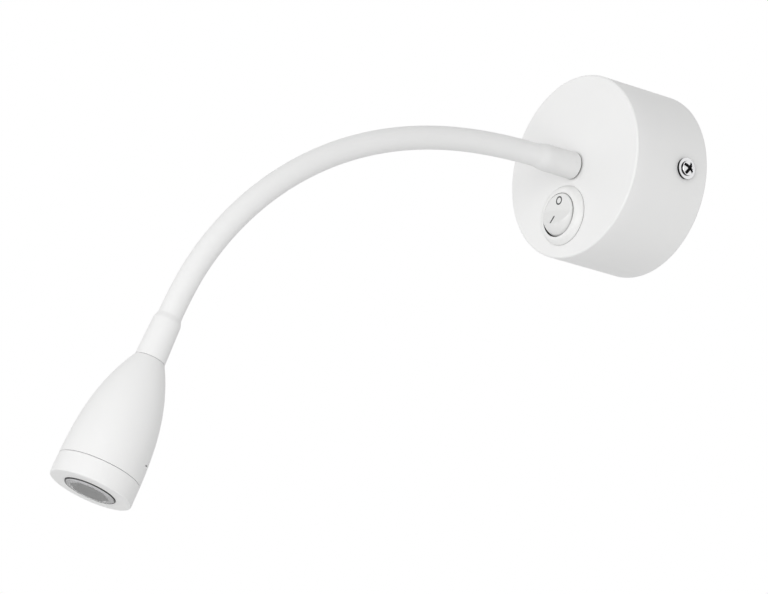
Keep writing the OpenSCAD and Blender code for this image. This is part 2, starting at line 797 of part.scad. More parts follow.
// Set screw, flush with the bell, with its slot round the head
module grub_screw() {
    end = bell_r(seam_z - grub_back) - slip;
    color("white") at_head() translate([0, 0, seam_z - grub_back]) rotate([0, 0, grub_turn]) rotate([0, 90, 0])
        difference() {
            rod(grub_d, skirt_r + run, end);
            bar(grub_slot_w, grub_d + cut, end - grub_slot_d, end + cut);
        }
}

// Lead from the last bend into the head, and its two wires to the board
module head_wires() {
    color("whitesmoke") at_head() {
        difference() {
            rod(lead_d, -last_bend, lead_end);
            translate([0, 0, -last_bend]) sphere(socket_r);
        }
        for (x = [-1, 1]) {
            wire([[x * 0.9, 0, lead_end + run], [x * 0.9, 0, lead_end + 7], [x * head_wire_r, 0, sink_z - 9],
                [x * head_wire_r, 0, sink_z - run]], head_wire_d, [0, 1, 0]);
            translate([x * head_wire_r, 0, 0]) rod(head_wire_d, sink_z, board_front);
        }
    }
}

base_cup();
wall_plate();
side_screws();
terminal_block();
terminal_screws();
led_driver();
driver_pad();
switch_housing();
switch_terminals();
switch_rocker();
switch_plunger();
switch_contact();
root_ferrule();
root_washer();
root_nut();
root_sleeve();
root_hose();
base_wires();
for (k = [1 : joints - 1]) {
    arm_sleeve(k);
    arm_hose(k);
    arm_lead(k);
}
tip_sleeve();
tip_hose();
tip_ferrule();
head_shell();
heat_sink();
led_board();
led_chip();
lens();
lens_holder();
front_ring();
grub_screw();
head_wires();
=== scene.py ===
"""Looks of a wall light: a white cup, a rocker switch, a gooseneck arm and an LED spot head.

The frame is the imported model's: metres, the origin in the middle of the wall face, +Z up, -Y away from
the wall. The arm lies in the plane x = 0. Shapes are worked out in millimetres in the local frame of their
sub-assembly, and a Place carries them into the model's frame.
"""

from __future__ import annotations

import json
import logging
import math
from dataclasses import dataclass
from enum import Enum
from typing import Any, Callable, ClassVar, NamedTuple, Sequence

import bmesh
import bpy
import numpy as np
from mathutils import Matrix, Vector

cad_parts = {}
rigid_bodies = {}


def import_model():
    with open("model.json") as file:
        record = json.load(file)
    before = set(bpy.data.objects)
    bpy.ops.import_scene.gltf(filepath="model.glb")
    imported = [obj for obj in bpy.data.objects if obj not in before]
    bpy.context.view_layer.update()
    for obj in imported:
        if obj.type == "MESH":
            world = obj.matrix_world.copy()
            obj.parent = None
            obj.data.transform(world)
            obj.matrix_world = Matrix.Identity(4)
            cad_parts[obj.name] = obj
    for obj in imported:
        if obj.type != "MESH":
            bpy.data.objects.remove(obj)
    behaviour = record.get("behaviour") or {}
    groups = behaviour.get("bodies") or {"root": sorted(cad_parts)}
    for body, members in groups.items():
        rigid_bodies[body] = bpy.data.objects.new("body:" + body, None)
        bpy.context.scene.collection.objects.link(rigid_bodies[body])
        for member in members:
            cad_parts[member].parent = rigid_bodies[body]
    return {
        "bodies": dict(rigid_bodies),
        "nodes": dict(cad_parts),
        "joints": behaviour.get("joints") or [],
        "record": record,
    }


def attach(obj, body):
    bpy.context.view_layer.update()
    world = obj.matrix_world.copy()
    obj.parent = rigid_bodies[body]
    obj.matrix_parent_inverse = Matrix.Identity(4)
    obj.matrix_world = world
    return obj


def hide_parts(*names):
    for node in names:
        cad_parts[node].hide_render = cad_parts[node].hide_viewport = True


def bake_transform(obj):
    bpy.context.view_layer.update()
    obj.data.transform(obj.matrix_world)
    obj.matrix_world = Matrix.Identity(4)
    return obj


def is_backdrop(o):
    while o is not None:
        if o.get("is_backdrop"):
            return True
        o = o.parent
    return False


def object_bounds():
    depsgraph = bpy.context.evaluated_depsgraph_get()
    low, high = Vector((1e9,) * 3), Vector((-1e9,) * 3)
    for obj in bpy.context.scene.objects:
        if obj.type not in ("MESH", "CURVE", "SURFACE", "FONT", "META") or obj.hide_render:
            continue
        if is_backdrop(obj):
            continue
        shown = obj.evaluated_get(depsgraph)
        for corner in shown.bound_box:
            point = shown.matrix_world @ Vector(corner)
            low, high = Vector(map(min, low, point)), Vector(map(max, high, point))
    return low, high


LOG = logging.getLogger("wall_light")
MM = 0.001
Array = np.ndarray
Axis = tuple[float, float, float]
Colour = tuple[float, float, float]
Radius = Callable[[Array], Array]
WHITE = (1.0, 1.0, 1.0, 1.0)
TONE = "tone"
# The direction across the arm's plane, which neither the arm nor its lead ever takes
LEVEL: Axis = (1.0, 0.0, 0.0)
# Edges that turn more than this many degrees are drawn sharp
SHARP = 32.0
# Distance in millimetres within which a point counts as lying on a level
NEAR = 0.01


# Local frames and meshes


@dataclass(frozen=True)
class Place:
    """A local frame in millimetres, set in the model's frame in metres."""

    origin: Array
    x: Array
    z: Array

    @property
    def y(self) -> Array:
        """Direction of the local y axis."""
        return np.cross(self.z, self.x)

    def to_model(self, points: Array | Sequence[float]) -> Array:
        """Local points in millimetres as points of the model in metres."""
        return self.origin + MM * np.asarray(points, float) @ np.stack([self.x, self.y, self.z])

    def moved(self, offset: Sequence[float]) -> Place:
        """The same frame with its origin at a local point."""
        return Place(self.to_model(offset), self.x, self.z)

    def facing(self, x: Array, z: Array) -> Place:
        """A frame at the same origin whose x and z axes are the given local directions."""
        axes = np.stack([self.x, self.y, self.z])
        return Place(self.origin, x @ axes, z @ axes)

    def turned(self, about_z: float = 0.0, about_x: float = 0.0) -> Place:
        """The frame turned about its own z axis, then about its new x axis.

        Args:
            about_z: the first turn in degrees.
            about_x: the second turn in degrees.

        Returns:
            The turned frame.
        """
        a, b = math.radians(about_z), math.radians(about_x)
        x = math.cos(a) * self.x + math.sin(a) * self.y
        y = np.cross(self.z, x)
        return Place(self.origin, x, math.cos(b) * self.z - math.sin(b) * y)


MODEL = Place(np.zeros(3), np.array([1.0, 0, 0]), np.array([0, 0, 1.0]))


class Skin:
    """Gathers grids of points, each in the local frame set when it is added, into one closed mesh.

    Each point has a tone from 0 to 1: how far its finish goes over to dark. Mostly this is painted shade
    in gaps, recesses, seams and where parts meet; the lens uses it to mask its frosted border.
    """

    MERGE = 2e-6

    def __init__(self, place: Place) -> None:
        """Starts an empty skin.

        Args:
            place: the local frame of the grids that are added next.
        """
        self.place = place
        self.points: list[Array] = []
        self.tones: list[Array] = []
        self.faces: list[Array] = []
        self.count = 0

    def add(self, grid: Array, closed_u: bool = False, closed_v: bool = False, keep: Array | None = None,
            tone: float | Array = 0.0) -> None:
        """Adds a grid of points as quads.

        Args:
            grid: points of shape (u, v, 3).
            closed_u: whether the last row joins the first.
            closed_v: whether the last column joins the first.
            keep: cells to draw, of shape (u, v), where not all are.
            tone: the points' tone, in a shape that spreads over (u, v).
        """
        rows, cols = grid.shape[:2]
        index = self.count + np.arange(rows * cols).reshape(rows, cols)
        right, down = np.roll(index, -1, 1), np.roll(index, -1, 0)
        cells = np.stack([index, down, np.roll(down, -1, 1), right], -1)
        drawn = np.ones((rows, cols), bool) if keep is None else keep.copy()
        if not closed_u:
            drawn[-1] = False
        if not closed_v:
            drawn[:, -1] = False
        self.points.append(self.place.to_model(grid.reshape(-1, 3)))
        self.tones.append(np.broadcast_to(tone, (rows, cols)).ravel())
        self.faces.append(cells[drawn])
        self.count += rows * cols

    def build(self, name: str, finish: bpy.types.Material, sharp: float) -> bpy.types.Object:
        """Makes the mesh object, with its place in its mesh.

        Args:
            name: the piece's name.
            finish: its material.
            sharp: edges that turn more than this many degrees are drawn sharp.

        Returns:
            The new object, linked to the scene.
        """
        mesh = bpy.data.meshes.new(name)
        mesh.from_pydata(np.concatenate(self.points), [], np.concatenate(self.faces).tolist())
        tones = mesh.attributes.new(TONE, "FLOAT", "POINT")
        tones.data.foreach_set("value", np.concatenate(self.tones).astype(np.float32))
        form = bmesh.new()
        form.from_mesh(mesh)
        bmesh.ops.remove_doubles(form, verts=form.verts, dist=self.MERGE)
        bmesh.ops.dissolve_degenerate(form, edges=form.edges, dist=self.MERGE / 2)
        bmesh.ops.recalc_face_normals(form, faces=form.faces)
        form.to_mesh(mesh)
        form.free()
        mesh.polygons.foreach_set("use_smooth", np.ones(len(mesh.polygons), bool))
        mesh.set_sharp_from_angle(angle=math.radians(sharp))
        mesh.materials.append(finish)
        piece = bpy.data.objects.new(name, mesh)
        bpy.context.scene.collection.objects.link(piece)
        return piece


def register(piece: bpy.types.Object, slot: Slot | None, *nodes: str) -> None:
    """Hides the nodes that a piece stands for, and reports the piece.

    Args:
        piece: the new piece.
        slot: the record's slot that it takes its finish from, if any; not used.
        nodes: the nodes that it stands for.
    """
    if nodes:
        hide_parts(*nodes)
    stands_for = ", ".join(nodes) or "nothing"
    LOG.info("%s: %d faces, stands for %s", piece.name, len(piece.data.polygons), stands_for)


# Outlines and surfaces


class Corner(NamedTuple):
    """A corner of an outline: distance from the axis, height, and the radius that rounds it."""

    r: float
    z: float
    q: float = 0.0


def unit(vectors: Array) -> Array:
    """Vectors scaled to length one."""
    return vectors / np.linalg.norm(vectors, axis=-1, keepdims=True)


def outline(corners: Sequence[Corner], steps: int = 6, hold: float = 0.04) -> Array:
    """An outline whose corners are circular arcs.

    Where two sides meet at an angle w, an arc of radius q touches each side q / tan(w / 2) from the corner
    and has its centre q / sin(w / 2) along the bisector. One more point a little way beyond each end of
    the arc keeps the flat sides flat when the surface is shaded.

    Args:
        corners: the corners in order; the first and last are the outline's ends.
        steps: points on each arc.
        hold: distance of the holding points from the arc's ends.

    Returns:
        Points (r, z) along the outline.
    """
    flat = np.array([c[:2] for c in corners], float)
    parts = [flat[:1]]
    for before, here, after, corner in zip(flat[:-2], flat[1:-1], flat[2:], corners[1:-1]):
        if corner.q <= 0:
            parts.append(here[None])
            continue
        back, on = unit(before - here), unit(after - here)
        half = math.acos(float(np.clip(back @ on, -1, 1))) / 2
        touch = corner.q / math.tan(half)
        centre = here + unit(back + on) * corner.q / math.sin(half)
        swing = np.linspace(-1, 1, steps)[:, None] * (math.pi / 2 - half)
        middle, across = unit(here - centre), unit(on - back)
        arc = centre + corner.q * (np.cos(swing) * middle + np.sin(swing) * across)
        parts += [(here + back * (touch + hold))[None], arc, (here + on * (touch + hold))[None]]
    return np.concatenate(parts + [flat[-1:]])


def revolve(profile: Array, columns: int, phase: float = 0.0) -> Array:
    """A profile turned about z: (r cos a, r sin a, z) for every angle a and every profile point (r, z).

    Args:
        profile: points (r, z).
        columns: the number of angles.
        phase: the first angle.

    Returns:
        Points of shape (columns, profile, 3).
    """
    angle = phase + 2 * math.pi * np.arange(columns) / columns
    r, z = profile[:, 0], profile[:, 1]
    height = np.broadcast_to(z, (columns, len(z)))
    return np.stack([np.outer(np.cos(angle), r), np.outer(np.sin(angle), r), height], -1)


def disc(radius: float, cells: int) -> tuple[Array, Array]:
    """A square net drawn onto a disc of radius R: x = R u sqrt(1 - v^2 / 2) and y = R v sqrt(1 - u^2 / 2).

    Args:
        radius: the disc's radius.
        cells: the net's cells along each side.

    Returns:
        The places x and y of the net's points.
    """
    span = np.linspace(-1, 1, cells + 1)
    u, v = np.meshgrid(span, span, indexing="ij")
    return radius * u * np.sqrt(1 - v**2 / 2), radius * v * np.sqrt(1 - u**2 / 2)


def net_edge(net: Array) -> Array:
    """The outer points of a square net, in order round it."""
    return np.concatenate([net[:-1, 0], net[-1, :-1], net[:0:-1, -1], net[0, :0:-1]])


def loft(inner: Array, outer: Array, shares: Sequence[float]) -> Array:
    """Straight lines from each inner point to its outer point, cut at the given shares of their length."""
    t = np.array(shares)[:, None, None]
    return (1 - t) * inner + t * outer


def tube(path: Array, way: Array, radius: Array, sides: int, level: Axis = LEVEL) -> Array:
    """Rings round a path: p + r (cos a U + sin a V).

    U is a level direction, which the path never takes, made square to the path. V is square to both.

    Args:
        path: points along the middle.
        way: unit tangents there.
        radius: radii there.
        sides: points on each ring.
        level: the direction that U comes from.

    Returns:
        Points of shape (path, sides, 3).
    """
    level = np.array(level, float)
    across = unit(level - (way @ level)[:, None] * way)
    normal = np.cross(way, across)
    angle = 2 * math.pi * np.arange(sides) / sides
    ring = np.cos(angle)[:, None] * across[:, None, :] + np.sin(angle)[:, None] * normal[:, None, :]
    return path[:, None, :] + radius[:, None, None] * ring


class WallHole(NamedTuple):
    """A round hole in a turned wall, in the middle of a patch of the wall's grid."""

    column: int
    height: float
    radius: float
    half_columns: int
    rows: tuple[int, int]


@dataclass(frozen=True)
class TurnedWall:
    """A wall of revolution whose grid leaves patches out for round holes.

    Each patch is a net of lines from the hole to the patch's edge, cut at PATCH_SHARES of their length.
    """

    PATCH_SHARES: ClassVar[tuple[float, ...]] = (0, 0.04, 0.2, 0.5, 1)

    heights: Array
    columns: int
    phase: float
    scale_radius: float
    holes: tuple[WallHole, ...] = ()

    def on_wall(self, angle: Array, height: Array, radius: Radius) -> Array:
        """Points (r(z) cos a, r(z) sin a, z) of the wall."""
        r = radius(height)
        return np.stack([r * np.cos(angle), r * np.sin(angle), height], -1)

    def rims(self, hole: WallHole) -> tuple[Array, Array]:
        """The hole's edge and its patch's edge, as matching loops of (angle, height).

        The patch's edge runs along whole columns and rows of the grid. Each of its points is drawn in along
        a straight line to the hole's circle, measured on the unrolled wall.

        Args:
            hole: the hole.

        Returns:
            The two loops.
        """
        step = 2 * math.pi / self.columns
        angle = step * np.arange(-hole.half_columns, hole.half_columns + 1)
        height = self.heights[hole.rows[0]:hole.rows[1] + 1] - hole.height
        low, high = np.full(len(angle), height[0]), np.full(len(angle), height[-1])
        left, right = np.full(len(height), angle[0]), np.full(len(height), angle[-1])
        patch = np.concatenate([
            np.stack([angle, low], -1)[:-1], np.stack([right, height], -1)[:-1],
            np.stack([angle, high], -1)[:0:-1], np.stack([left, height], -1)[:0:-1],
        ])
        unrolled = patch * [self.scale_radius, 1.0]
        circle = unit(unrolled) * hole.radius / [self.scale_radius, 1.0]
        centre = [self.phase + step * hole.column, hole.height]
        return circle + centre, patch + centre

    def draw(self, skin: Skin, radius: Radius) -> list[Array]:
        """Adds the wall and its patches to a skin.

        Args:
            skin: the skin to add to.
            radius: the wall's radius at a height.

        Returns:
            The edge of each hole, as points.
        """
        angle = self.phase + 2 * math.pi * np.arange(self.columns) / self.columns
        keep = np.ones((self.columns, len(self.heights)), bool)
        for hole in self.holes:
            span = np.arange(hole.column - hole.half_columns, hole.column + hole.half_columns) % self.columns
            keep[span[:, None], np.arange(*hole.rows)] = False
        grid_angle, grid_height = np.meshgrid(angle, self.heights, indexing="ij")
        skin.add(self.on_wall(grid_angle, grid_height, radius), closed_u=True, keep=keep)
        edges = []
        for hole in self.holes:
            circle, patch = self.rims(hole)
            net = loft(circle, patch, self.PATCH_SHARES)
            skin.add(self.on_wall(net[..., 0], net[..., 1], radius), closed_v=True)
            edges.append(self.on_wall(circle[:, 0], circle[:, 1], radius))
        return edges


def constant(radius: float) -> Radius:
    """A wall of one radius all the way."""
    return lambda height: np.full_like(height, radius)


# Materials


class Value:
    """A number that varies over a surface. Arithmetic on it adds Math nodes."""

    def __init__(self, nodes: Nodes, socket: bpy.types.NodeSocket) -> None:
        """Wraps an output socket of a node tree."""
        self.nodes = nodes
        self.socket = socket

    def _math(self, operation: str, first: Any, second: Any) -> Value:
        """A Math node on two values or numbers."""
        made = self.nodes.node("ShaderNodeMath", {"operation": operation}, {0: first, 1: second})
        return Value(self.nodes, made.outputs[0])

    def at_least(self, other: Any) -> Value:
        """The greater of this and another."""
        return self._math("MAXIMUM", self, other)

    def __add__(self, other: Any) -> Value:
        """This plus another."""
        return self._math("ADD", self, other)

    def __radd__(self, other: Any) -> Value:
        """A number plus this."""
        return self._math("ADD", other, self)

    def __sub__(self, other: Any) -> Value:
        """This less another."""
        return self._math("SUBTRACT", self, other)

    def __rsub__(self, other: Any) -> Value:
        """A number less this."""
        return self._math("SUBTRACT", other, self)

    def __mul__(self, other: Any) -> Value:
        """This times another."""
        return self._math("MULTIPLY", self, other)

    def __rmul__(self, other: Any) -> Value:
        """A number times this."""
        return self._math("MULTIPLY", other, self)


class Nodes:
    """A node tree under construction."""

    def __init__(self, owner: bpy.types.Material | bpy.types.World) -> None:
        """Clears a node tree.

        Args:
            owner: the material or world that has it.
        """
        owner.use_nodes = True
        self.tree = owner.node_tree
        self.tree.nodes.clear()

    def node(self, kind: str, settings: dict[str, Any] | None = None,
             sockets: dict[str | int, Any] | None = None) -> bpy.types.Node:
        """Adds a node.

        Args:
            kind: the node's type.
            settings: its properties, set first.
            sockets: values, or links from a Value or a socket, for its inputs.

        Returns:
            The new node.
        """
        made = self.tree.nodes.new(kind)
        for name, setting in (settings or {}).items():
            setattr(made, name, setting)
        self.plug(made, sockets or {})
        return made

    def plug(self, node: bpy.types.Node, sockets: dict[str | int, Any]) -> None:
        """Sets or links a node's inputs.

        Args:
            node: the node.
            sockets: values, or links from a Value or a socket, by the inputs' names or numbers.
        """
        for name, value in sockets.items():
            if isinstance(value, Value):
                value = value.socket
            if isinstance(value, bpy.types.NodeSocket):
                self.tree.links.new(value, node.inputs[name])
            else:
                node.inputs[name].default_value = value

    def blend(self, share: Value, *ends: Colour | bpy.types.NodeSocket) -> bpy.types.NodeSocket:
        """Mixes two colours.

        Args:
            share: how far to go from the first to the second, from 0 to 1.
            ends: the two colours, plain or from a socket.

        Returns:
            The socket of the mixed colour.
        """
        first, second = ((*end, 1.0) if isinstance(end, tuple) else end for end in ends)
        made = self.node("ShaderNodeMix", {"data_type": "RGBA", "clamp_factor": True},
                         {"Factor": share, 6: first, 7: second})
        return made.outputs[2]

    def seen(self, camera: float = 1.0) -> Value:
        """Tells apart the rays that see a surface from those that it only lights.

        Args:
            camera: the value for the camera's own rays.

        Returns:
            One for rays that were mirrored or let through, the given value for the camera's, zero for others.
        """
        path = self.node("ShaderNodeLightPath").outputs
        kinds = ("Glossy", "Transmission", "Camera")
        glossy, through, direct = (Value(self, path[f"Is {kind} Ray"]) for kind in kinds)
        return glossy.at_least(through).at_least(camera * direct)


class Shader(Nodes):
    """A material under construction, round one Principled shader."""

    # The middle value of its noise
    MIDDLE = 0.5

    def __init__(self, name: str) -> None:
        """Starts a material with an empty Principled shader.

        Args:
            name: the material's name.
        """
        self.material = bpy.data.materials.new(name)
        super().__init__(self.material)
        self.surface = self.node("ShaderNodeBsdfPrincipled")
        self.output = self.node("ShaderNodeOutputMaterial", None, {"Surface": self.surface.outputs[0]})
        self.place = self.node("ShaderNodeTexCoord").outputs["Object"]

    def noise(self, size: float, detail: float = 2.0, stretch: Axis = (1, 1, 1)) -> Value:
        """Soft noise in the object's coordinates.

        Args:
            size: the size of its blobs in millimetres.
            detail: how many finer layers it has.
            stretch: how far the blobs are drawn out along each axis.

        Returns:
            The noise, whose middle value is MIDDLE.
        """
        where = self.place
        if stretch != (1, 1, 1):
            shrink = tuple(1 / s for s in stretch)
            where = self.node("ShaderNodeMapping", {"vector_type": "POINT"},
                              {"Vector": where, "Scale": shrink}).outputs[0]
        made = self.node("ShaderNodeTexNoise", {"noise_dimensions": "3D"},
                         {"Vector": where, "Scale": 1 / (size * MM), "Detail": detail, "Roughness": 0.5})
        return Value(self, made.outputs["Fac"])

    def deepen(self, colour: bpy.types.NodeSocket, deep: Colour) -> bpy.types.NodeSocket:
        """A colour that goes over to a deep one with the tone of the mesh, mostly as painted shade."""
        return self.blend(self.tone(), colour, deep)

    def tone(self) -> Value:
        """The tone of the mesh."""
        made = self.node("ShaderNodeAttribute", {"attribute_type": "GEOMETRY", "attribute_name": TONE})
        return Value(self, made.outputs["Fac"])

    def relief(self, height: Value, depth: float) -> bpy.types.NodeSocket:
        """A normal bent by a height field that is depth millimetres deep."""
        made = self.node("ShaderNodeBump", None, {"Height": height, "Distance": depth * MM, "Strength": 1.0})
        return made.outputs[0]

    def dress(self, **sockets: Any) -> bpy.types.Material:
        """Fills the Principled shader's sockets, with underscores for spaces in their names, and ends."""
        self.plug(self.surface, {name.replace("_", " "): value for name, value in sockets.items()})
        return self.material


class Slot(Enum):
    """The record's material slots."""

    WHITE_PAINT = "white_paint"
    SLEEVE = "sleeve_silicone"
    SWITCH = "switch_plastic"
    CHROME = "chrome_screw"
    ZINC = "zinc_plate"
    NICKEL = "nickel_ferrule"
    HOSE = "hose_steel"
    LEAD = "lead_jacket"
    WIRE = "wire_insulation"
    BLOCK = "block_plastic"
    DRIVER = "driver_case"
    FOAM = "foam_pad"
    BRASS = "contact_brass"
    SINK = "sink_aluminium"
    BOARD = "board_white"
    PHOSPHOR = "led_phosphor"
    LENS = "lens_clear"
    HOLDER = "holder_plastic"


@dataclass(frozen=True)
class Coating:
    """Paint, plastic or rubber: a cloudy colour and a fine skin texture.

    The colour drifts between two near shades in soft clouds, the roughness varies with a finer noise, and
    the skin has a grain of its own size and depth.
    """

    name: str
    colour: Colour
    shade: Colour
    roughness: float
    rough_range: float = 0.08
    cloud: float = 16.0
    grain: float = 0.35
    grain_depth: float = 0.006
    specular: float = 0.5
    deep: Colour = (0.012, 0.012, 0.012)
    cloud_detail: float = 3.0
    fineness: float = 8.0

    def build(self) -> bpy.types.Material:
        """Makes the material.

        Returns:
            The new material.
        """
        shader = Shader(self.name)
        clouds = shader.noise(self.cloud, self.cloud_detail)
        fine = shader.noise(self.cloud / self.fineness)
        skin = shader.noise(self.grain)
        return shader.dress(
            Base_Color=shader.deepen(shader.blend(clouds, self.colour, self.shade), self.deep),
            Roughness=self.roughness + self.rough_range * (fine - shader.MIDDLE),
            Specular_IOR_Level=self.specular,
            Normal=shader.relief(skin, self.grain_depth),
        )


@dataclass(frozen=True)
class Metal:
    """Bare metal: a drawn or plated surface with streaks along one axis.

    The streaks vary its roughness and its relief. The colour drifts between two near shades in clouds that
    are a number of grains across.
    """

    name: str
    colour: Colour
    shade: Colour
    roughness: float
    rough_range: float = 0.1
    streak: Axis = (1.0, 1.0, 1.0)
    grain: float = 0.5
    grain_depth: float = 0.002
    deep: Colour = (0.015, 0.015, 0.016)
    streak_detail: float = 3.0
    cloud_grains: float = 12.0

    def build(self) -> bpy.types.Material:
        """Makes the material.

        Returns:
            The new material.
        """
        shader = Shader(self.name)
        streaks = shader.noise(self.grain, self.streak_detail, self.streak)
        clouds = shader.noise(self.cloud_grains * self.grain)
        return shader.dress(
            Base_Color=shader.deepen(shader.blend(clouds, self.colour, self.shade), self.deep),
            Metallic=1.0,
            Roughness=self.roughness + self.rough_range * (streaks - shader.MIDDLE),
            Normal=shader.relief(streaks, self.grain_depth),
        )


@dataclass(frozen=True)
class ClearPlastic:
    """Clear acrylic of the lens with a faint haze, frosted where its mesh has a tone.

    The frost shows the more, the less the surface is seen edge on.
    """

    name: str
    colour: Colour
    roughness: float
    ior: float = 1.43
    haze_size: float = 1.5
    haze_range: float = 0.02
    frost: Colour = (0.6, 0.6, 0.61)
    frost_roughness: float = 0.4
    frost_end: float = 0.88
    frost_gain: float = 4.0
    edge_blend: float = 0.5

    def build(self) -> bpy.types.Material:
        """Makes the material.

        Returns:
            The new material.
        """
        shader = Shader(self.name)
        haze = shader.noise(self.haze_size)
        frosted = shader.node("ShaderNodeBsdfPrincipled", None,
                              {"Base Color": (*self.frost, 1.0), "Roughness": self.frost_roughness})
        weight = shader.node("ShaderNodeLayerWeight", None, {"Blend": self.edge_blend})
        edge_on = Value(shader, weight.outputs["Facing"])
        share = shader.tone() * (self.frost_gain * (self.frost_end - edge_on))
        border = shader.node("ShaderNodeMixShader", None,
                             {0: share, 1: shader.surface.outputs[0], 2: frosted.outputs[0]})
        shader.plug(shader.output, {"Surface": border.outputs[0]})
        return shader.dress(
            Base_Color=(*self.colour, 1.0),
            Roughness=self.roughness + self.haze_range * haze,
            IOR=self.ior,
            Transmission_Weight=1.0,
        )


FINISHES: dict[Slot, Coating | Metal | ClearPlastic] = {
    Slot.WHITE_PAINT: Coating("matte_white_paint", (0.86, 0.86, 0.855), (0.84, 0.84, 0.836), 0.5),
    Slot.SLEEVE: Coating("white_silicone", (0.86, 0.86, 0.856), (0.835, 0.835, 0.832), 0.55, grain=0.2,
                         grain_depth=0.002),
    Slot.SWITCH: Coating("white_switch_plastic", (0.83, 0.83, 0.82), (0.81, 0.81, 0.805), 0.32, grain=0.25),
    Slot.CHROME: Metal("bright_chrome", (0.8, 0.8, 0.81), (0.76, 0.76, 0.77), 0.08, 0.06),
    Slot.ZINC: Metal("zinc_plated_steel", (0.62, 0.63, 0.65), (0.52, 0.53, 0.55), 0.38, 0.2, (8, 1, 1)),
    Slot.NICKEL: Metal("nickel_plate", (0.66, 0.64, 0.6), (0.6, 0.58, 0.54), 0.28),
    Slot.HOSE: Metal("wound_steel", (0.45, 0.45, 0.46), (0.36, 0.36, 0.37), 0.4),
    Slot.LEAD: Coating("lead_jacket", (0.8, 0.8, 0.78), (0.75, 0.75, 0.73), 0.5),
    Slot.WIRE: Coating("wire_insulation", (0.5, 0.05, 0.04), (0.42, 0.04, 0.03), 0.4),
    Slot.BLOCK: Coating("block_nylon", (0.76, 0.74, 0.68), (0.7, 0.68, 0.62), 0.42),
    Slot.DRIVER: Coating("driver_case", (0.8, 0.8, 0.79), (0.75, 0.75, 0.745), 0.5, grain=0.6),
    Slot.FOAM: Coating("black_foam", (0.03, 0.03, 0.03), (0.015, 0.015, 0.015), 0.9, grain=0.8,
                       grain_depth=0.15),
    Slot.BRASS: Metal("contact_brass", (0.72, 0.53, 0.24), (0.62, 0.44, 0.2), 0.3),
    Slot.SINK: Metal("turned_aluminium", (0.72, 0.73, 0.74), (0.64, 0.65, 0.66), 0.35),
    Slot.BOARD: Coating("white_solder_mask", (0.82, 0.82, 0.81), (0.78, 0.78, 0.77), 0.35),
    Slot.PHOSPHOR: Coating("yellow_phosphor", (0.82, 0.6, 0.08), (0.75, 0.5, 0.05), 0.4, cloud=1.0),
    Slot.LENS: ClearPlastic("clear_acrylic", (0.97, 0.98, 0.98), 0.03),
    Slot.HOLDER: Coating("holder_plastic", (0.045, 0.045, 0.047), (0.03, 0.03, 0.032), 0.45),
}
MARK_INK = Coating("grey_mark_ink", (0.03, 0.03, 0.032), (0.04, 0.04, 0.042), 0.5, cloud=0.8)


class Palette:
    """Builds each finish once."""

    def __init__(self) -> None:
        """Builds the material of every slot, and the ink of the switch's marks."""
        self.of_slot = {slot: finish.build() for slot, finish in FINISHES.items()}
        self.ink = MARK_INK.build()

    def __getitem__(self, slot: Slot | None) -> bpy.types.Material:
        """The material of a slot, or the ink where there is none."""
        return self.ink if slot is None else self.of_slot[slot]

    def dress_nodes(self, frame: dict[str, Any]) -> None:
        """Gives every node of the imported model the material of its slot.

        Args:
            frame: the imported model.
        """
        for part in frame["record"]["subparts"]:
            node = frame["nodes"][part["node"]]
            node.data.materials.clear()
            node.data.materials.append(self[Slot(part["material_slot"])])


# Sub-assemblies


@dataclass(frozen=True)
class Assembly:
    """A sub-assembly: the local frame that it is built in, and the finishes that dress it."""

    place: Place
    palette: Palette

    def settle(self, skin: Skin, name: str, body: str, slot: Slot | None, *nodes: str,
               sharp: float = SHARP) -> None:
        """Makes a piece of a skin, lets it ride on a body in place of some nodes, and reports it.

        Args:
            skin: the piece's surfaces.
            name: its name.
            body: the body that it moves with.
            slot: the record's slot that it takes its finish from, or none for ink.
            nodes: the nodes that it stands for.
            sharp: edges that turn more than this many degrees are drawn sharp.
        """
        piece = skin.build(name, self.palette[slot], sharp)
        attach(piece, body)
        register(piece, slot, *nodes)


# Base


class Side(Enum):
    """The two ends of the strap, as turns about the cup's axis."""

    RIGHT = 0.0
    LEFT = 180.0


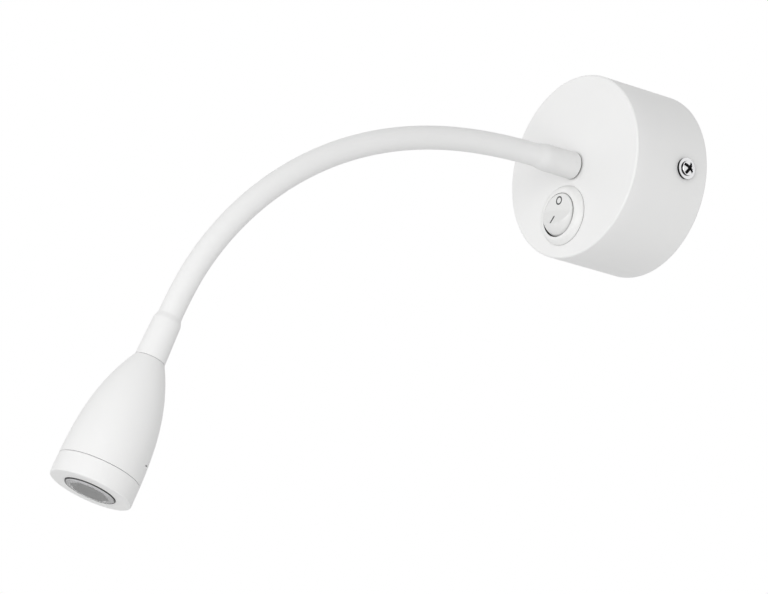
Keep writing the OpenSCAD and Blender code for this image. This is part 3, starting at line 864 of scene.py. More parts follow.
@dataclass(frozen=True)
class BaseCup(Assembly):
    """The cup on the wall, with the holes for its side screws, the arm and the switch."""

    radius: float = 35.0
    depth: float = 35.0
    wall: float = 1.5
    edge: float = 0.9
    inner_edge: float = 0.8
    rim_edge: float = 0.3
    hold: float = 0.05
    strap_turn: float = 9.6
    screw_height: float = 11.0
    screw_hole: float = 2.2
    arm_hole: float = 4.2
    switch_hole: float = 10.1
    switch_drop: float = 18.8
    low_rows: tuple[float, ...] = (2.5,)
    high_rows: tuple[float, ...] = (22.0, 28.0)
    patch_half: float = 6.0
    patch_rows: int = 7
    patch_columns: int = 5
    face_shares: tuple[float, ...] = (0, 0.1, 0.5, 1)
    columns: int = 180
    chord_points: int = 26
    edge_steps: int = 9
    inner_edge_steps: int = 5
    rim_steps: int = 4

    @property
    def phase(self) -> float:
        """Angle of the first column, which runs through a screw hole."""
        return math.radians(self.strap_turn)

    def side_wall(self, top: float) -> TurnedWall:
        """Lays out the cup's side, with its two screw holes.

        Args:
            top: the height that it ends at.

        Returns:
            The wall's grid.
        """
        patch = self.screw_height + self.patch_half * np.linspace(-1, 1, self.patch_rows)
        below = [self.rim_edge, *self.low_rows]
        heights = np.array([*below, *patch, *self.high_rows, top])
        rows = (len(below), len(below) + self.patch_rows - 1)
        columns = [int(side.value / 360 * self.columns) for side in Side]
        holes = tuple(WallHole(column, self.screw_height, self.screw_hole, self.patch_columns, rows)
                      for column in columns)
        return TurnedWall(heights, self.columns, self.phase, self.radius, holes)

    def face(self, skin: Skin, radius: float, height: float) -> list[Array]:
        """Adds a flat face with its two holes.

        The disc is cut along a chord between the holes. Each part is a net of straight lines from the hole's
        circle to the part's own edge.

        Args:
            skin: the skin to add to.
            radius: the disc's radius.
            height: its distance from the wall.

        Returns:
            The edge of each hole, as points.
        """
        angle = self.phase + 2 * math.pi * np.arange(self.columns) / self.columns
        round_cup = np.stack([np.cos(angle), np.sin(angle)], -1)
        rim = radius * round_cup
        between = (self.switch_drop - self.switch_hole + self.arm_hole) / 2
        low = np.flatnonzero(self.radius * round_cup[:, 1] < -between)
        first, last = low[0], low[-1]
        share = np.linspace(0, 1, self.chord_points)[1:-1, None]
        chord = (1 - share) * rim[first] + share * rim[last]
        lower = np.concatenate([rim[first:last + 1], chord[::-1]])
        upper = np.concatenate([rim[last:], rim[:first + 1], chord])
        switch = np.array([0, -self.switch_drop])
        edges = []
        for edge, centre, hole in ((upper, np.zeros(2), self.arm_hole), (lower, switch, self.switch_hole)):
            circle = centre + hole * unit(edge - centre)
            net = loft(circle, edge, self.face_shares)
            level = np.full((*net.shape[:2], 1), height)
            points = np.concatenate([net, level], -1)
            skin.add(points, closed_v=True)
            edges.append(points[0])
        return edges

    def build(self) -> None:
        """Builds the cup as one closed shell: two side walls, two faces, the holes' walls and the edges."""
        skin = Skin(self.place)
        inner_r, inner_h = self.radius - self.wall, self.depth - self.wall
        outside = self.side_wall(self.depth - self.edge).draw(skin, constant(self.radius))
        inside = self.side_wall(inner_h - self.inner_edge).draw(skin, constant(inner_r))
        outside += self.face(skin, self.radius - self.edge - self.hold, self.depth)
        inside += self.face(skin, inner_r - self.inner_edge - self.hold, inner_h)
        for outer_ring, inner_ring in zip(outside, inside):
            skin.add(np.stack([outer_ring, inner_ring]), closed_v=True)
        edges = ((self.radius, self.depth, self.edge, self.edge_steps),
                 (inner_r, inner_h, self.inner_edge, self.inner_edge_steps))
        profiles = [outline([Corner(r, h - q), Corner(r, h, q), Corner(r - q - self.hold, h)], steps)
                    for r, h, q, steps in edges]
        q = self.rim_edge
        profiles.append(outline([Corner(inner_r, q), Corner(inner_r, 0, q), Corner(self.radius, 0, q),
                                 Corner(self.radius, q)], self.rim_steps))
        for profile in profiles:
            skin.add(revolve(profile, self.columns, self.phase), closed_u=True)
        self.settle(skin, "base_cup_shell", "base", Slot.WHITE_PAINT, "base_cup")


@dataclass(frozen=True)
class SideScrews(Assembly):
    """Two flanged pan-head screws with cross recesses, one in each side of the cup."""

    cup: BaseCup
    flange_radius: float = 4.0
    flange_height: float = 1.1
    # Painted shade at the flange's rim
    flange_tone: float = 0.3
    pan_radius: float = 2.7
    head_height: float = 2.7
    dome_rise: float = 0.9
    edge: float = 0.07
    thread_radius: float = 2.0
    thread_edge: float = 0.1
    length: float = 7.0
    chamfer: float = 0.4
    recess_reach: float = 2.5
    recess_width: float = 1.3
    recess_depth: float = 1.38
    recess_wall: float = 0.22
    recess_slope: float = 0.55
    recess_turn: float = 60.0
    seat_gap: float = 0.05
    # Strength of the painted shade and painted dark reflection on the screws
    shade: float = 1.0
    cells: int = 96
    sharp: float = 28.0

    def dome(self, radius: Array) -> Array:
        """Height of the pan over its seat: a cap of a sphere."""
        ball = (self.pan_radius**2 + self.dome_rise**2) / (2 * self.dome_rise)
        return self.head_height - ball + np.sqrt(ball**2 - radius**2)

    def recess(self, x: Array, y: Array) -> tuple[Array, Array]:
        """The cross recess: two slots that slope up to their ends, with steep walls.

        Args:
            x: places across the head.
            y: places along it.

        Returns:
            Its depth, and how far a point lies inside it, from 0 to 1.
        """
        ax, ay = np.abs(x), np.abs(y)
        slot_x = np.maximum(ax - self.recess_reach, ay - self.recess_width / 2)
        slot_y = np.maximum(ay - self.recess_reach, ax - self.recess_width / 2)
        inside = np.clip(-np.minimum(slot_x, slot_y) / self.recess_wall, 0, 1)
        slope = 1 - self.recess_slope * np.clip(np.hypot(x, y) / self.recess_reach, 0, 1)
        return self.recess_depth * slope * inside, inside

    def head(self, skin: Skin) -> None:
        """Adds one screw: a square net drawn onto a disc for the pan's top, then rings down to the tip.

        The rings go down the pan's side, out over the flange, down its side, in to the thread and on to the
        tip. The recess has painted shade and the two sides a painted dark reflection of the cup's shadow: the
        deep tone.

        Args:
            skin: the skin to add to, in the screw's frame.
        """
        e, n, c = self.edge, self.thread_edge, self.chamfer
        x, y = disc(self.pan_radius - e, self.cells)
        depth, inside = self.recess(x, y)
        top = np.stack([x, y, self.dome(np.hypot(x, y)) - depth], -1)
        skin.add(top, tone=self.shade * inside)
        loop = net_edge(top)
        around = unit(loop[:, :2])
        pan, flange, thread = self.pan_radius, self.flange_radius, self.thread_radius
        pan_top, flat, tip = self.head_height - self.dome_rise - e, self.flange_height, -self.length
        # The third number of each ring is its tone: painted dark reflection on the pan's and flange's sides,
        # painted shade where they meet
        side = [
            (pan, pan_top, 0.0), (pan, pan_top - e, 1.0), (pan, flat + e, 1.0), (pan + e, flat, 1.0),
            (pan + 2 * e, flat, 0.0), (flange - e, flat - e / 2, 0.0), (flange, flat - e, self.flange_tone),
            (flange, flat - 2 * e, 1.0), (flange, e, 1.0), (flange - e, 0.0, 1.0), (thread + n, 0.0, 1.0),
            (thread, -n, 0.0), (thread, tip + c, 0.0), (thread - c, tip, 0.0), (0.0, tip, 0.0),
        ]
        rings = [loop] + [np.concatenate([around * r, np.full((len(around), 1), h)], -1) for r, h, _ in side]
        tones = self.shade * np.array([0.0] + [tone for *_, tone in side])
        skin.add(np.stack(rings), closed_v=True, tone=tones[:, None])

    def build(self) -> None:
        """Builds the two screws as one piece."""
        skin = Skin(self.place)
        for side in Side:
            angle = math.radians(self.cup.strap_turn + side.value)
            out = np.array([math.cos(angle), math.sin(angle), 0.0])
            along = np.array([-math.sin(angle), math.cos(angle), 0.0])
            seat = self.place.moved(out * (self.cup.radius + self.seat_gap) + [0, 0, self.cup.screw_height])
            skin.place = seat.facing(along, out).turned(about_z=self.recess_turn)
            self.head(skin)
        self.settle(skin, "side_screw_pair", "base", Slot.CHROME, "side_screws", sharp=self.sharp)


class DriverEntry(NamedTuple):
    """Where a wire goes up into the driver: its place across the cup, its depth, and its straight run."""

    x: float
    depth: float
    run: float


@dataclass(frozen=True)
class BaseWiring(Assembly):
    """The insulated wires in the cup, and the lead that goes from the driver into the arm.

    A route is four points: its two ends, and the points that it leaves and arrives towards. They lie in the
    frame of the strap, the switch or the cup.
    """

    strap: Place
    switch: Place
    wire_radius: float = 0.9
    lead_radius: float = 1.8
    poles: tuple[float, float] = (-15.25, -8.75)
    pole_height: float = 6.3
    pole_seat: float = 4.5
    pole_runs: tuple[float, float] = (13.0, 6.0)
    blade_height: float = -17.0
    blade_seat: float = 0.45
    blade_run: float = 9.0
    blade_offset: float = 5.5
    driver: float = 9.55
    right_entry: DriverEntry = DriverEntry(9.0, 16.5, 8.95)
    left_entry: DriverEntry = DriverEntry(-10.5, 15.5, 3.95)
    lead_entry: DriverEntry = DriverEntry(0.0, 15.5, 6.95)
    stud_end: float = 25.5
    lead_gap: float = 0.05
    lead_run: float = 8.0
    lead_reach: float = 60.6
    rings: int = 40
    sides: int = 20

    def into_driver(self, entry: DriverEntry) -> list[Array]:
        """The last two points of a route that enters the driver."""
        heights = (self.driver - entry.run, self.driver)
        return [self.place.to_model((entry.x, height, entry.depth)) for height in heights]

    def routes(self) -> list[tuple[list[Array], Axis]]:
        """Lays out the wires.

        Returns:
            Their routes in the model's frame, each with a direction that the wire never takes.
        """
        strap, switch = self.strap.to_model, self.switch.to_model
        (left, right), z, seat = self.poles, self.pole_height, self.pole_seat
        blade, run, offset, b = self.blade_seat, self.blade_run, self.blade_offset, self.blade_height
        return [
            ([strap((left, -seat, z)), strap((left, -seat - self.pole_runs[0], z)), switch((-run, 0, b)),
              switch((-blade, 0, b))], (1, 1, 1)),
            ([switch((blade, offset, b)), switch((run, offset, b)),
              *self.into_driver(self.right_entry)], (0, 1, 0)),
            ([strap((right, seat, z)), strap((right, seat + self.pole_runs[1], z)),
              *self.into_driver(self.left_entry)], (1, 0, 0)),
        ]

    def wire(self, skin: Skin, route: list[Array], radius: float, level: Axis) -> None:
        """Adds a round wire with flat ends along the cubic curve of a route.

        Args:
            skin: the skin to add to.
            route: the curve's four points.
            radius: the wire's radius.
            level: a direction that it never takes.
        """
        t = np.linspace(0, 1, self.rings)[:, None]
        a, b, c, d = np.stack(route) / MM
        path = (1 - t)**3 * a + 3 * t * (1 - t)**2 * b + 3 * t**2 * (1 - t) * c + t**3 * d
        way = unit((1 - t)**2 * (b - a) + 2 * t * (1 - t) * (c - b) + t**2 * (d - c))
        self.rod(skin, path, way, radius, level)

    def rod(self, skin: Skin, path: Array, way: Array, radius: float, level: Axis) -> None:
        """Adds a closed tube along a path, whose end rings are repeated and drawn in to the middle.

        Args:
            skin: the skin to add to.
            path: points along its middle.
            way: unit tangents there.
            radius: its radius.
            level: a direction that it never takes.
        """
        ends = np.concatenate([[0], np.arange(len(path)), [len(path) - 1]])
        radii = np.concatenate([[0.0], np.full(len(path), radius), [0.0]])
        skin.add(tube(path[ends], way[ends], radii, self.sides, level), closed_v=True)

    def build(self) -> None:
        """Builds the three wires as one piece, and the lead as another."""
        wires, lead = Skin(MODEL), Skin(MODEL)
        for route, level in self.routes():
            self.wire(wires, route, self.wire_radius, level)
        self.settle(wires, "base_wire_set", "base", Slot.WIRE, "base_wires")
        bow = [self.place.to_model((0, 0, self.stud_end - back)) for back in (self.lead_gap, self.lead_run)]
        self.wire(lead, bow + self.into_driver(self.lead_entry), self.lead_radius, LEVEL)
        straight = [self.place.to_model((0, 0, out)) for out in (self.stud_end, self.lead_reach)]
        self.rod(lead, np.stack(straight) / MM, np.tile(self.place.z, (2, 1)), self.lead_radius, LEVEL)
        self.settle(lead, "base_lead", "base", Slot.LEAD, "base_wires")


# Switch


@dataclass(frozen=True)
class RockerSwitch(Assembly):
    """A round rocker switch: its bezel and body, the rocker, and the marks for off and on."""

    bezel_radius: float = 11.4
    bezel_height: float = 2.6
    bezel_edge: float = 0.8
    crown_in: float = 1.3
    crown_drop: float = 0.15
    crown_round: float = 2.0
    skirt_in: float = 0.1
    skirt_round: float = 0.5
    body_radius: float = 9.9
    body_depth: float = 14.0
    body_edge: float = 0.4
    body_floor: float = 1.6
    ball_radius: float = 8.9
    gap: float = 0.6
    room_end: float = 135.0
    pivot_depth: float = 1.5
    face_distance: float = 4.5
    base_rise: float = 0.3
    tilt: float = 13.0
    valley: float = 1.0
    edge: float = 0.35
    mouth_radius: float = 8.4
    mouth_shift: tuple[float, float] = (-0.08, -0.25)
    mouth_lip: float = 0.25
    mouth_slope: float = 0.03
    mouth_edge: float = 0.2
    foot: float = 0.3
    foot_shade: float = 0.9
    flank_shade: float = 0.85
    flank_fade: float = 0.15
    flank_side: float = 22.0
    face_shade: float = 0.06
    face_shares: tuple[float, ...] = (0, 0.02, 0.05, 0.12, 0.3, 0.6, 0.98)
    first_share: float = 0.015
    off_size: float = 3.3
    off_line: float = 0.56
    on_length: float = 3.4
    on_line: float = 0.74
    off_place: tuple[float, float] = (-0.2, 3.9)
    on_place: tuple[float, float] = (-0.4, -3.9)
    mark_lift: float = 0.02
    mark_root: float = 0.05
    columns: int = 128
    rocker_columns: int = 192
    mark_points: int = 72
    room_rows: int = 16
    edge_rows: int = 6
    flank_rows: int = 40
    substitutions: int = 40

    def housing(self) -> None:
        """Builds the bezel and the body as one turned shell round the rocker's ball-shaped room.

        The room closes in to a thin lip at the bezel's mouth. The mouth sits a little off the middle: a point
        of the bezel shifts with it by the share of its way from the bezel's outer edge to the mouth. The room
        has a deep tone of painted shade, and so has the bezel's foot, where it meets the cup.
        """
        room, lip = self.ball_radius + self.gap, self.bezel_height - self.mouth_lip
        mouth, bezel, body, deep = self.mouth_radius, self.bezel_radius, self.body_radius, -self.body_depth
        roll = outline([
            Corner(mouth, lip), Corner(mouth + self.mouth_slope, self.bezel_height, self.mouth_edge),
            Corner(bezel - self.crown_in, self.bezel_height - self.crown_drop, self.crown_round),
            Corner(bezel - self.skirt_in, self.bezel_edge, self.skirt_round),
            Corner(bezel, self.foot), Corner(bezel, 0.0), Corner(body, 0.0),
            Corner(body, deep, self.body_edge), Corner(0.0, deep),
        ], steps=7)
        start = math.acos((lip + self.pivot_depth) / room)
        swing = np.linspace(start, math.radians(self.room_end), self.room_rows)
        ball = np.stack([room * np.sin(swing), room * np.cos(swing) - self.pivot_depth], -1)
        floor = np.array([[r, self.body_floor + deep] for r in (ball[-1, 0], 0.0)])
        skin = Skin(self.place)
        shift = np.array([*self.mouth_shift, 0.0])
        # Painted shade: a contact shadow at the bezel's foot, and full shade all through the room
        low = self.foot_shade * (roll[:, 1] < self.foot / 2)
        for profile, tone in ((roll, low), (np.concatenate([roll[:1], ball, floor]), 1.0)):
            reach = (bezel - profile[:, 0]) / (bezel - mouth)
            share = np.where(profile[:, 1] > lip - NEAR, np.clip(reach, 0, 1), 0.0)
            skin.add(revolve(profile, self.columns) + share[:, None] * shift, closed_u=True, tone=tone)
        self.settle(skin, "switch_bezel", "base", Slot.SWITCH, "switch_housing")

    def rocker_place(self) -> Place:
        """The rocker's frame: its pivot, tilted so that the off end is pressed in."""
        return self.place.moved((0, 0, -self.pivot_depth)).turned(about_x=-self.tilt)

    def top(self, y: Array) -> Array:
        """Height of the rocker's two faces over its pivot: a valley that rises to both ends.

        It is d / cos(tilt) + tan(tilt) sqrt(y^2 + v^2), with the faces' distance d and the valley's width v.

        Args:
            y: places along the rocker.

        Returns:
            The height at each place.
        """
        tilt = math.radians(self.tilt)
        return self.face_distance / math.cos(tilt) + math.tan(tilt) * np.hypot(y, self.valley)

    def rocker(self) -> None:
        """Builds the rocker: two faces cut from a ball, with a rounded edge.

        For each direction a the edge lies where the top meets the ball, r = sqrt(R^2 - top(r sin a)^2), found
        by repeated substitution. A quadratic curve rounds it, and the ball's own arc goes on below. Under the
        bezel's mouth the arc has a deep tone, painted shade of the gap. It fades with cos^2 of the angle from
        the gap's darkest side. A faint even tone greys the whole rocker.
        """
        ball = self.ball_radius
        a = 2 * math.pi * np.arange(self.rocker_columns) / self.rocker_columns
        across = np.stack([np.cos(a), np.sin(a)], -1)
        r = np.full(len(a), ball)
        for _ in range(self.substitutions):
            height = np.minimum(self.top(r * across[:, 1]), ball)
            r = np.sqrt(ball**2 - height**2)

        def on_top(radius: Array) -> Array:
            """Points of the top at a distance from the middle."""
            flat = across * radius[:, None]
            return np.concatenate([flat, self.top(flat[:, 1])[:, None]], -1)

        def on_ball(angle: Array) -> Array:
            """Points of the ball at an angle from the upright."""
            flat = across * (ball * np.sin(angle))[:, None]
            return np.concatenate([flat, (ball * np.cos(angle))[:, None]], -1)

        start = np.arctan2(r, self.top(r * across[:, 1])) + self.edge / ball
        low = math.acos((self.base_rise - self.face_distance) / ball)
        near, corner, past = on_top(r - self.edge), on_top(r), on_ball(start)
        rings = [on_top((r - self.edge) * share) for share in self.face_shares]
        for t in np.linspace(0, 1, self.edge_rows):
            rings.append((1 - t)**2 * near + 2 * t * (1 - t) * corner + t**2 * past)
        for share in np.linspace(self.first_share, 1, self.flank_rows):
            rings.append(on_ball(start + (low - start) * share))
        net = np.stack(rings + [rings[-1] * [0, 0, 1]])
        tilt = math.radians(self.tilt)
        # Painted shade on the flank where it lies below the bezel's lip at rest, strongest towards the gap's
        # darkest side
        level = net[..., 2] * math.cos(tilt) - net[..., 1] * math.sin(tilt) - self.pivot_depth
        hidden = np.clip((self.bezel_height + self.flank_fade / 2 - level) / self.flank_fade, 0, 1)
        hidden *= np.clip(np.cos(a - math.radians(self.flank_side)), 0, 1) ** 2
        hidden[:len(self.face_shares)] = 0.0
        skin = Skin(self.rocker_place())
        skin.add(net, closed_v=True, tone=self.face_shade + self.flank_shade * hidden)
        self.settle(skin, "switch_rocker_cap", "rocker", Slot.SWITCH, "switch_rocker")

    def mark(self, name: str, centre: tuple[float, float], half: float, radii: tuple[float, float]) -> None:
        """Builds one printed mark: a stadium, or a band between two stadiums.

        Args:
            name: the piece's name.
            centre: its middle on the rocker's top.
            half: half of the stadium's straight stretch, along y.
            radii: the outer and inner radius of its ends, where an inner radius of 0 fills it.
        """
        a = 2 * math.pi * (np.arange(self.mark_points) + 0.5) / self.mark_points

        def ring(reach: float, lift: float) -> Array:
            """The stadium's edge.

            Args:
                reach: its distance from the spine.
                lift: its height over the rocker's top.

            Returns:
                Its points.
            """
            spine = half * np.sign(np.sin(a)) if reach > 0 else half * np.sin(a)
            flat = np.array(centre) + np.stack([reach * np.cos(a), spine + reach * np.sin(a)], -1)
            return np.concatenate([flat, self.top(flat[:, 1])[:, None] + lift], -1)

        (outer, inner), root, lift = radii, -self.mark_root, self.mark_lift
        skin = Skin(self.rocker_place())
        skin.add(np.stack([ring(outer, root), ring(outer, lift), ring(inner, lift), ring(inner, root)]),
                 closed_u=True, closed_v=True)
        self.settle(skin, name, "rocker", None)

    def build(self) -> None:
        """Builds the switch."""
        self.housing()
        self.rocker()
        off, bar = self.off_size / 2, self.on_line / 2
        self.mark("mark_off", self.off_place, 0.0, (off, off - self.off_line))
        self.mark("mark_on", self.on_place, self.on_length / 2 - bar, (bar, 0.0))


# Arm


class SleeveRun(NamedTuple):
    """A length of sleeve, which bends between its start and its end.

    Its path is points along the middle line, with a unit tangent and the outside's radius and tone at each.
    """

    start: Array
    end: Array
    path: Array
    way: Array
    radius: Array
    tone: Array


@dataclass(frozen=True)
class Gooseneck(Assembly):
    """The arm's smooth sleeve, one length across each bend."""

    bends: Array
    last_way: Array
    face: float = 35.0
    radius: float = 4.35
    bore: float = 3.35
    least_wall: float = 0.6
    root_radius: float = 5.12
    root_length: float = 18.2
    root_gap: float = 0.36
    root_swell: tuple[float, float] = (13.6, 19.4)
    # Painted shade where the sleeve meets the cup: root_shade is the band's length, end_shade its strength
    root_shade: float = 0.34
    # Darkening of the sleeve in step with its swelling at the root
    swell_darkening: float = 0.085
    tip_radius: float = 5.15
    tip_end_radius: float = 5.6
    tip_length: float = 17.6
    taper: float = 3.0
    last_bend: float = 30.0
    tip_gap: float = 0.1
    end_edge: float = 0.16
    end_shade: float = 0.9
    shade_edge: float = 0.02
    cone_start: float = 1.0
    rings: int = 28
    edge_rings: int = 6
    cone_rings: int = 6
    taper_rings: int = 14
    sides: int = 64
    sharp: float = 40.0

    @property
    def middles(self) -> Array:
        """Points where one length of sleeve ends and the next begins, halfway between bends."""
        return (self.bends[:-1] + self.bends[1:]) / 2

    def bend_curve(self, start: Array, pivot: Array, end: Array) -> tuple[Array, Array]:
        """A quadratic curve from start to end that leaves and arrives along the lines to the pivot.

        Args:
            start: its first point.
            pivot: the bend.
            end: its last point.

        Returns:
            Its points and its unit tangents.
        """
        t = np.linspace(0, 1, self.rings)[:, None]
        path = (1 - t)**2 * start + 2 * t * (1 - t) * pivot + t**2 * end
        return path, unit((1 - t) * (pivot - start) + t * (end - pivot))

    def thick_end(self, distance: Array, seat: float, step: float, near: float, far: float) -> Array:
        """Radius at a distance from a thick end: a straight cone, a soft step and a rounded edge at the seat.

        The step falls from the cone to the arm's radius by s^2 (3 - 2 s), where s is the share of the way
        through the step.

        Args:
            distance: distances from the seat.
            seat: the cone's radius at the seat.
            step: its radius where the step begins.
            near: the distance where the step begins.
            far: the distance where it ends.

        Returns:
            The radius at each distance.
        """
        swell = np.interp(distance, [0, near], [seat, step])
        share = np.clip((distance - near) / (far - near), 0, 1)
        soft = share * share * (3 - 2 * share)
        into = np.clip(1 - (distance - distance[0]) / self.end_edge, 0, 1)
        rounding = self.end_edge * (1 - np.sqrt(1 - into**2))
        return swell + (self.radius - swell) * soft - rounding

    def end_distances(self, length: float, gap: float) -> Array:
        """Spreads a thick end's rings, close together at its edge and its step.

        Args:
            length: the thick end's length.
            gap: the gap between it and its seat.

        Returns:
            Their distances from the seat.
        """
        edge = gap + self.end_edge * (1 - np.cos(np.linspace(0, math.pi / 2, self.edge_rings)))
        shade = gap + self.root_shade + np.array([0, self.shade_edge])
        cone = np.linspace(self.cone_start, length - self.taper, self.cone_rings)
        return np.concatenate([edge, shade, cone, np.linspace(cone[-1], length, self.taper_rings)[1:]])

    def root_run(self) -> SleeveRun:
        """The first length: straight out of the face with a thick end, then round the first bend.

        Its tone paints the shade of the gap at the face. Further on it darkens the sleeve in step with the
        swelling, which the photograph shows a little greyer than the arm.

        Returns:
            The length of sleeve.
        """
        out, face = np.array([0.0, -1.0, 0.0]), np.array([0, -self.face, 0])
        start, end = face + self.root_length * out, self.middles[0]
        distance = self.end_distances(self.root_length, self.root_gap)
        curve, curve_way = self.bend_curve(start, self.bends[0], end)
        path = np.concatenate([face + distance[:-1, None] * out, curve])
        way = np.concatenate([np.tile(out, (len(distance) - 1, 1)), curve_way])
        run = np.linalg.norm(np.diff(curve, axis=0), axis=-1).cumsum()
        reach = np.concatenate([distance, self.root_length + run])
        radius = self.thick_end(reach, self.root_radius, self.root_radius, *self.root_swell)
        swollen = (radius - self.radius) / (self.root_radius - self.radius)
        shaded = reach <= self.root_gap + self.root_shade
        tone = np.where(shaded, self.end_shade, self.swell_darkening * swollen)
        return SleeveRun(start, end, path, way, radius, tone)

    def middle_run(self, k: int) -> SleeveRun:
        """A length round one of the bends between the first and the last.

        Args:
            k: the bend's number, from 0.

        Returns:
            The length of sleeve.
        """
        start, end = self.middles[k - 1], self.middles[k]
        path, way = self.bend_curve(start, self.bends[k], end)
        return SleeveRun(start, end, path, way, np.full(len(path), self.radius), np.zeros(len(path)))

    def tip_run(self) -> SleeveRun:
        """The last length: round the last bend, then straight to the head with a thick end.

        Returns:
            The length of sleeve.
        """
        pivot, neck = self.bends[-1], self.bends[-1] + self.last_way * self.last_bend
        start, end = self.middles[-1], pivot + self.last_way * (self.last_bend - self.tip_length)
        curve, curve_way = self.bend_curve(start, pivot, end)
        distance = self.end_distances(self.tip_length, self.tip_gap)
        path = np.concatenate([curve, neck - distance[:-1, None][::-1] * self.last_way])
        way = np.concatenate([curve_way, np.tile(self.last_way, (len(distance) - 1, 1))])
        thick = self.thick_end(distance, self.tip_end_radius, self.tip_radius, self.tip_length - self.taper,
                               self.tip_length)
        radius = np.concatenate([np.full(len(curve), self.radius), thick[:-1][::-1]])
        return SleeveRun(start, end, path, way, radius, np.zeros(len(path)))

    def sleeve(self, name: str, run: SleeveRun) -> bpy.types.Object:
        """Builds a closed length of sleeve: its outside, its bore and its two end faces.

        Args:
            name: the piece's name.
            run: the length of sleeve.

        Returns:
            The new piece.
        """
        outside = tube(run.path, run.way, run.radius, self.sides)
        inside = tube(run.path, run.way, np.minimum(self.bore, run.radius - self.least_wall), self.sides)
        skin = Skin(self.place)
        skin.add(outside, closed_v=True, tone=run.tone[:, None])
        skin.add(inside, closed_v=True)
        skin.add(np.stack([outside[0], inside[0]]), closed_v=True, tone=run.tone[0])
        skin.add(np.stack([outside[-1], inside[-1]]), closed_v=True)
        return skin.build(name, self.palette[Slot.SLEEVE], self.sharp)

    def build(self) -> None:
        """Builds the eleven lengths of sleeve."""
        count = len(self.bends)
        bodies = ["base", *(f"link_{k}" for k in range(1, count)), "head"]
        nodes = [["root_sleeve"], *([f"sleeve_{k}"] for k in range(1, count))]
        nodes[-1].append("tip_sleeve")
        runs = [self.root_run(), *(self.middle_run(k) for k in range(1, count - 1)), self.tip_run()]
        for k, run in enumerate(runs):
            piece = self.sleeve(f"arm_sleeve_{k + 1:02d}", run)
            bodies[k + 1]
            tuple(run.end * MM)
            tuple(run.start * MM)
            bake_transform(piece)
            register(piece, Slot.SLEEVE, *nodes[k])


# Head


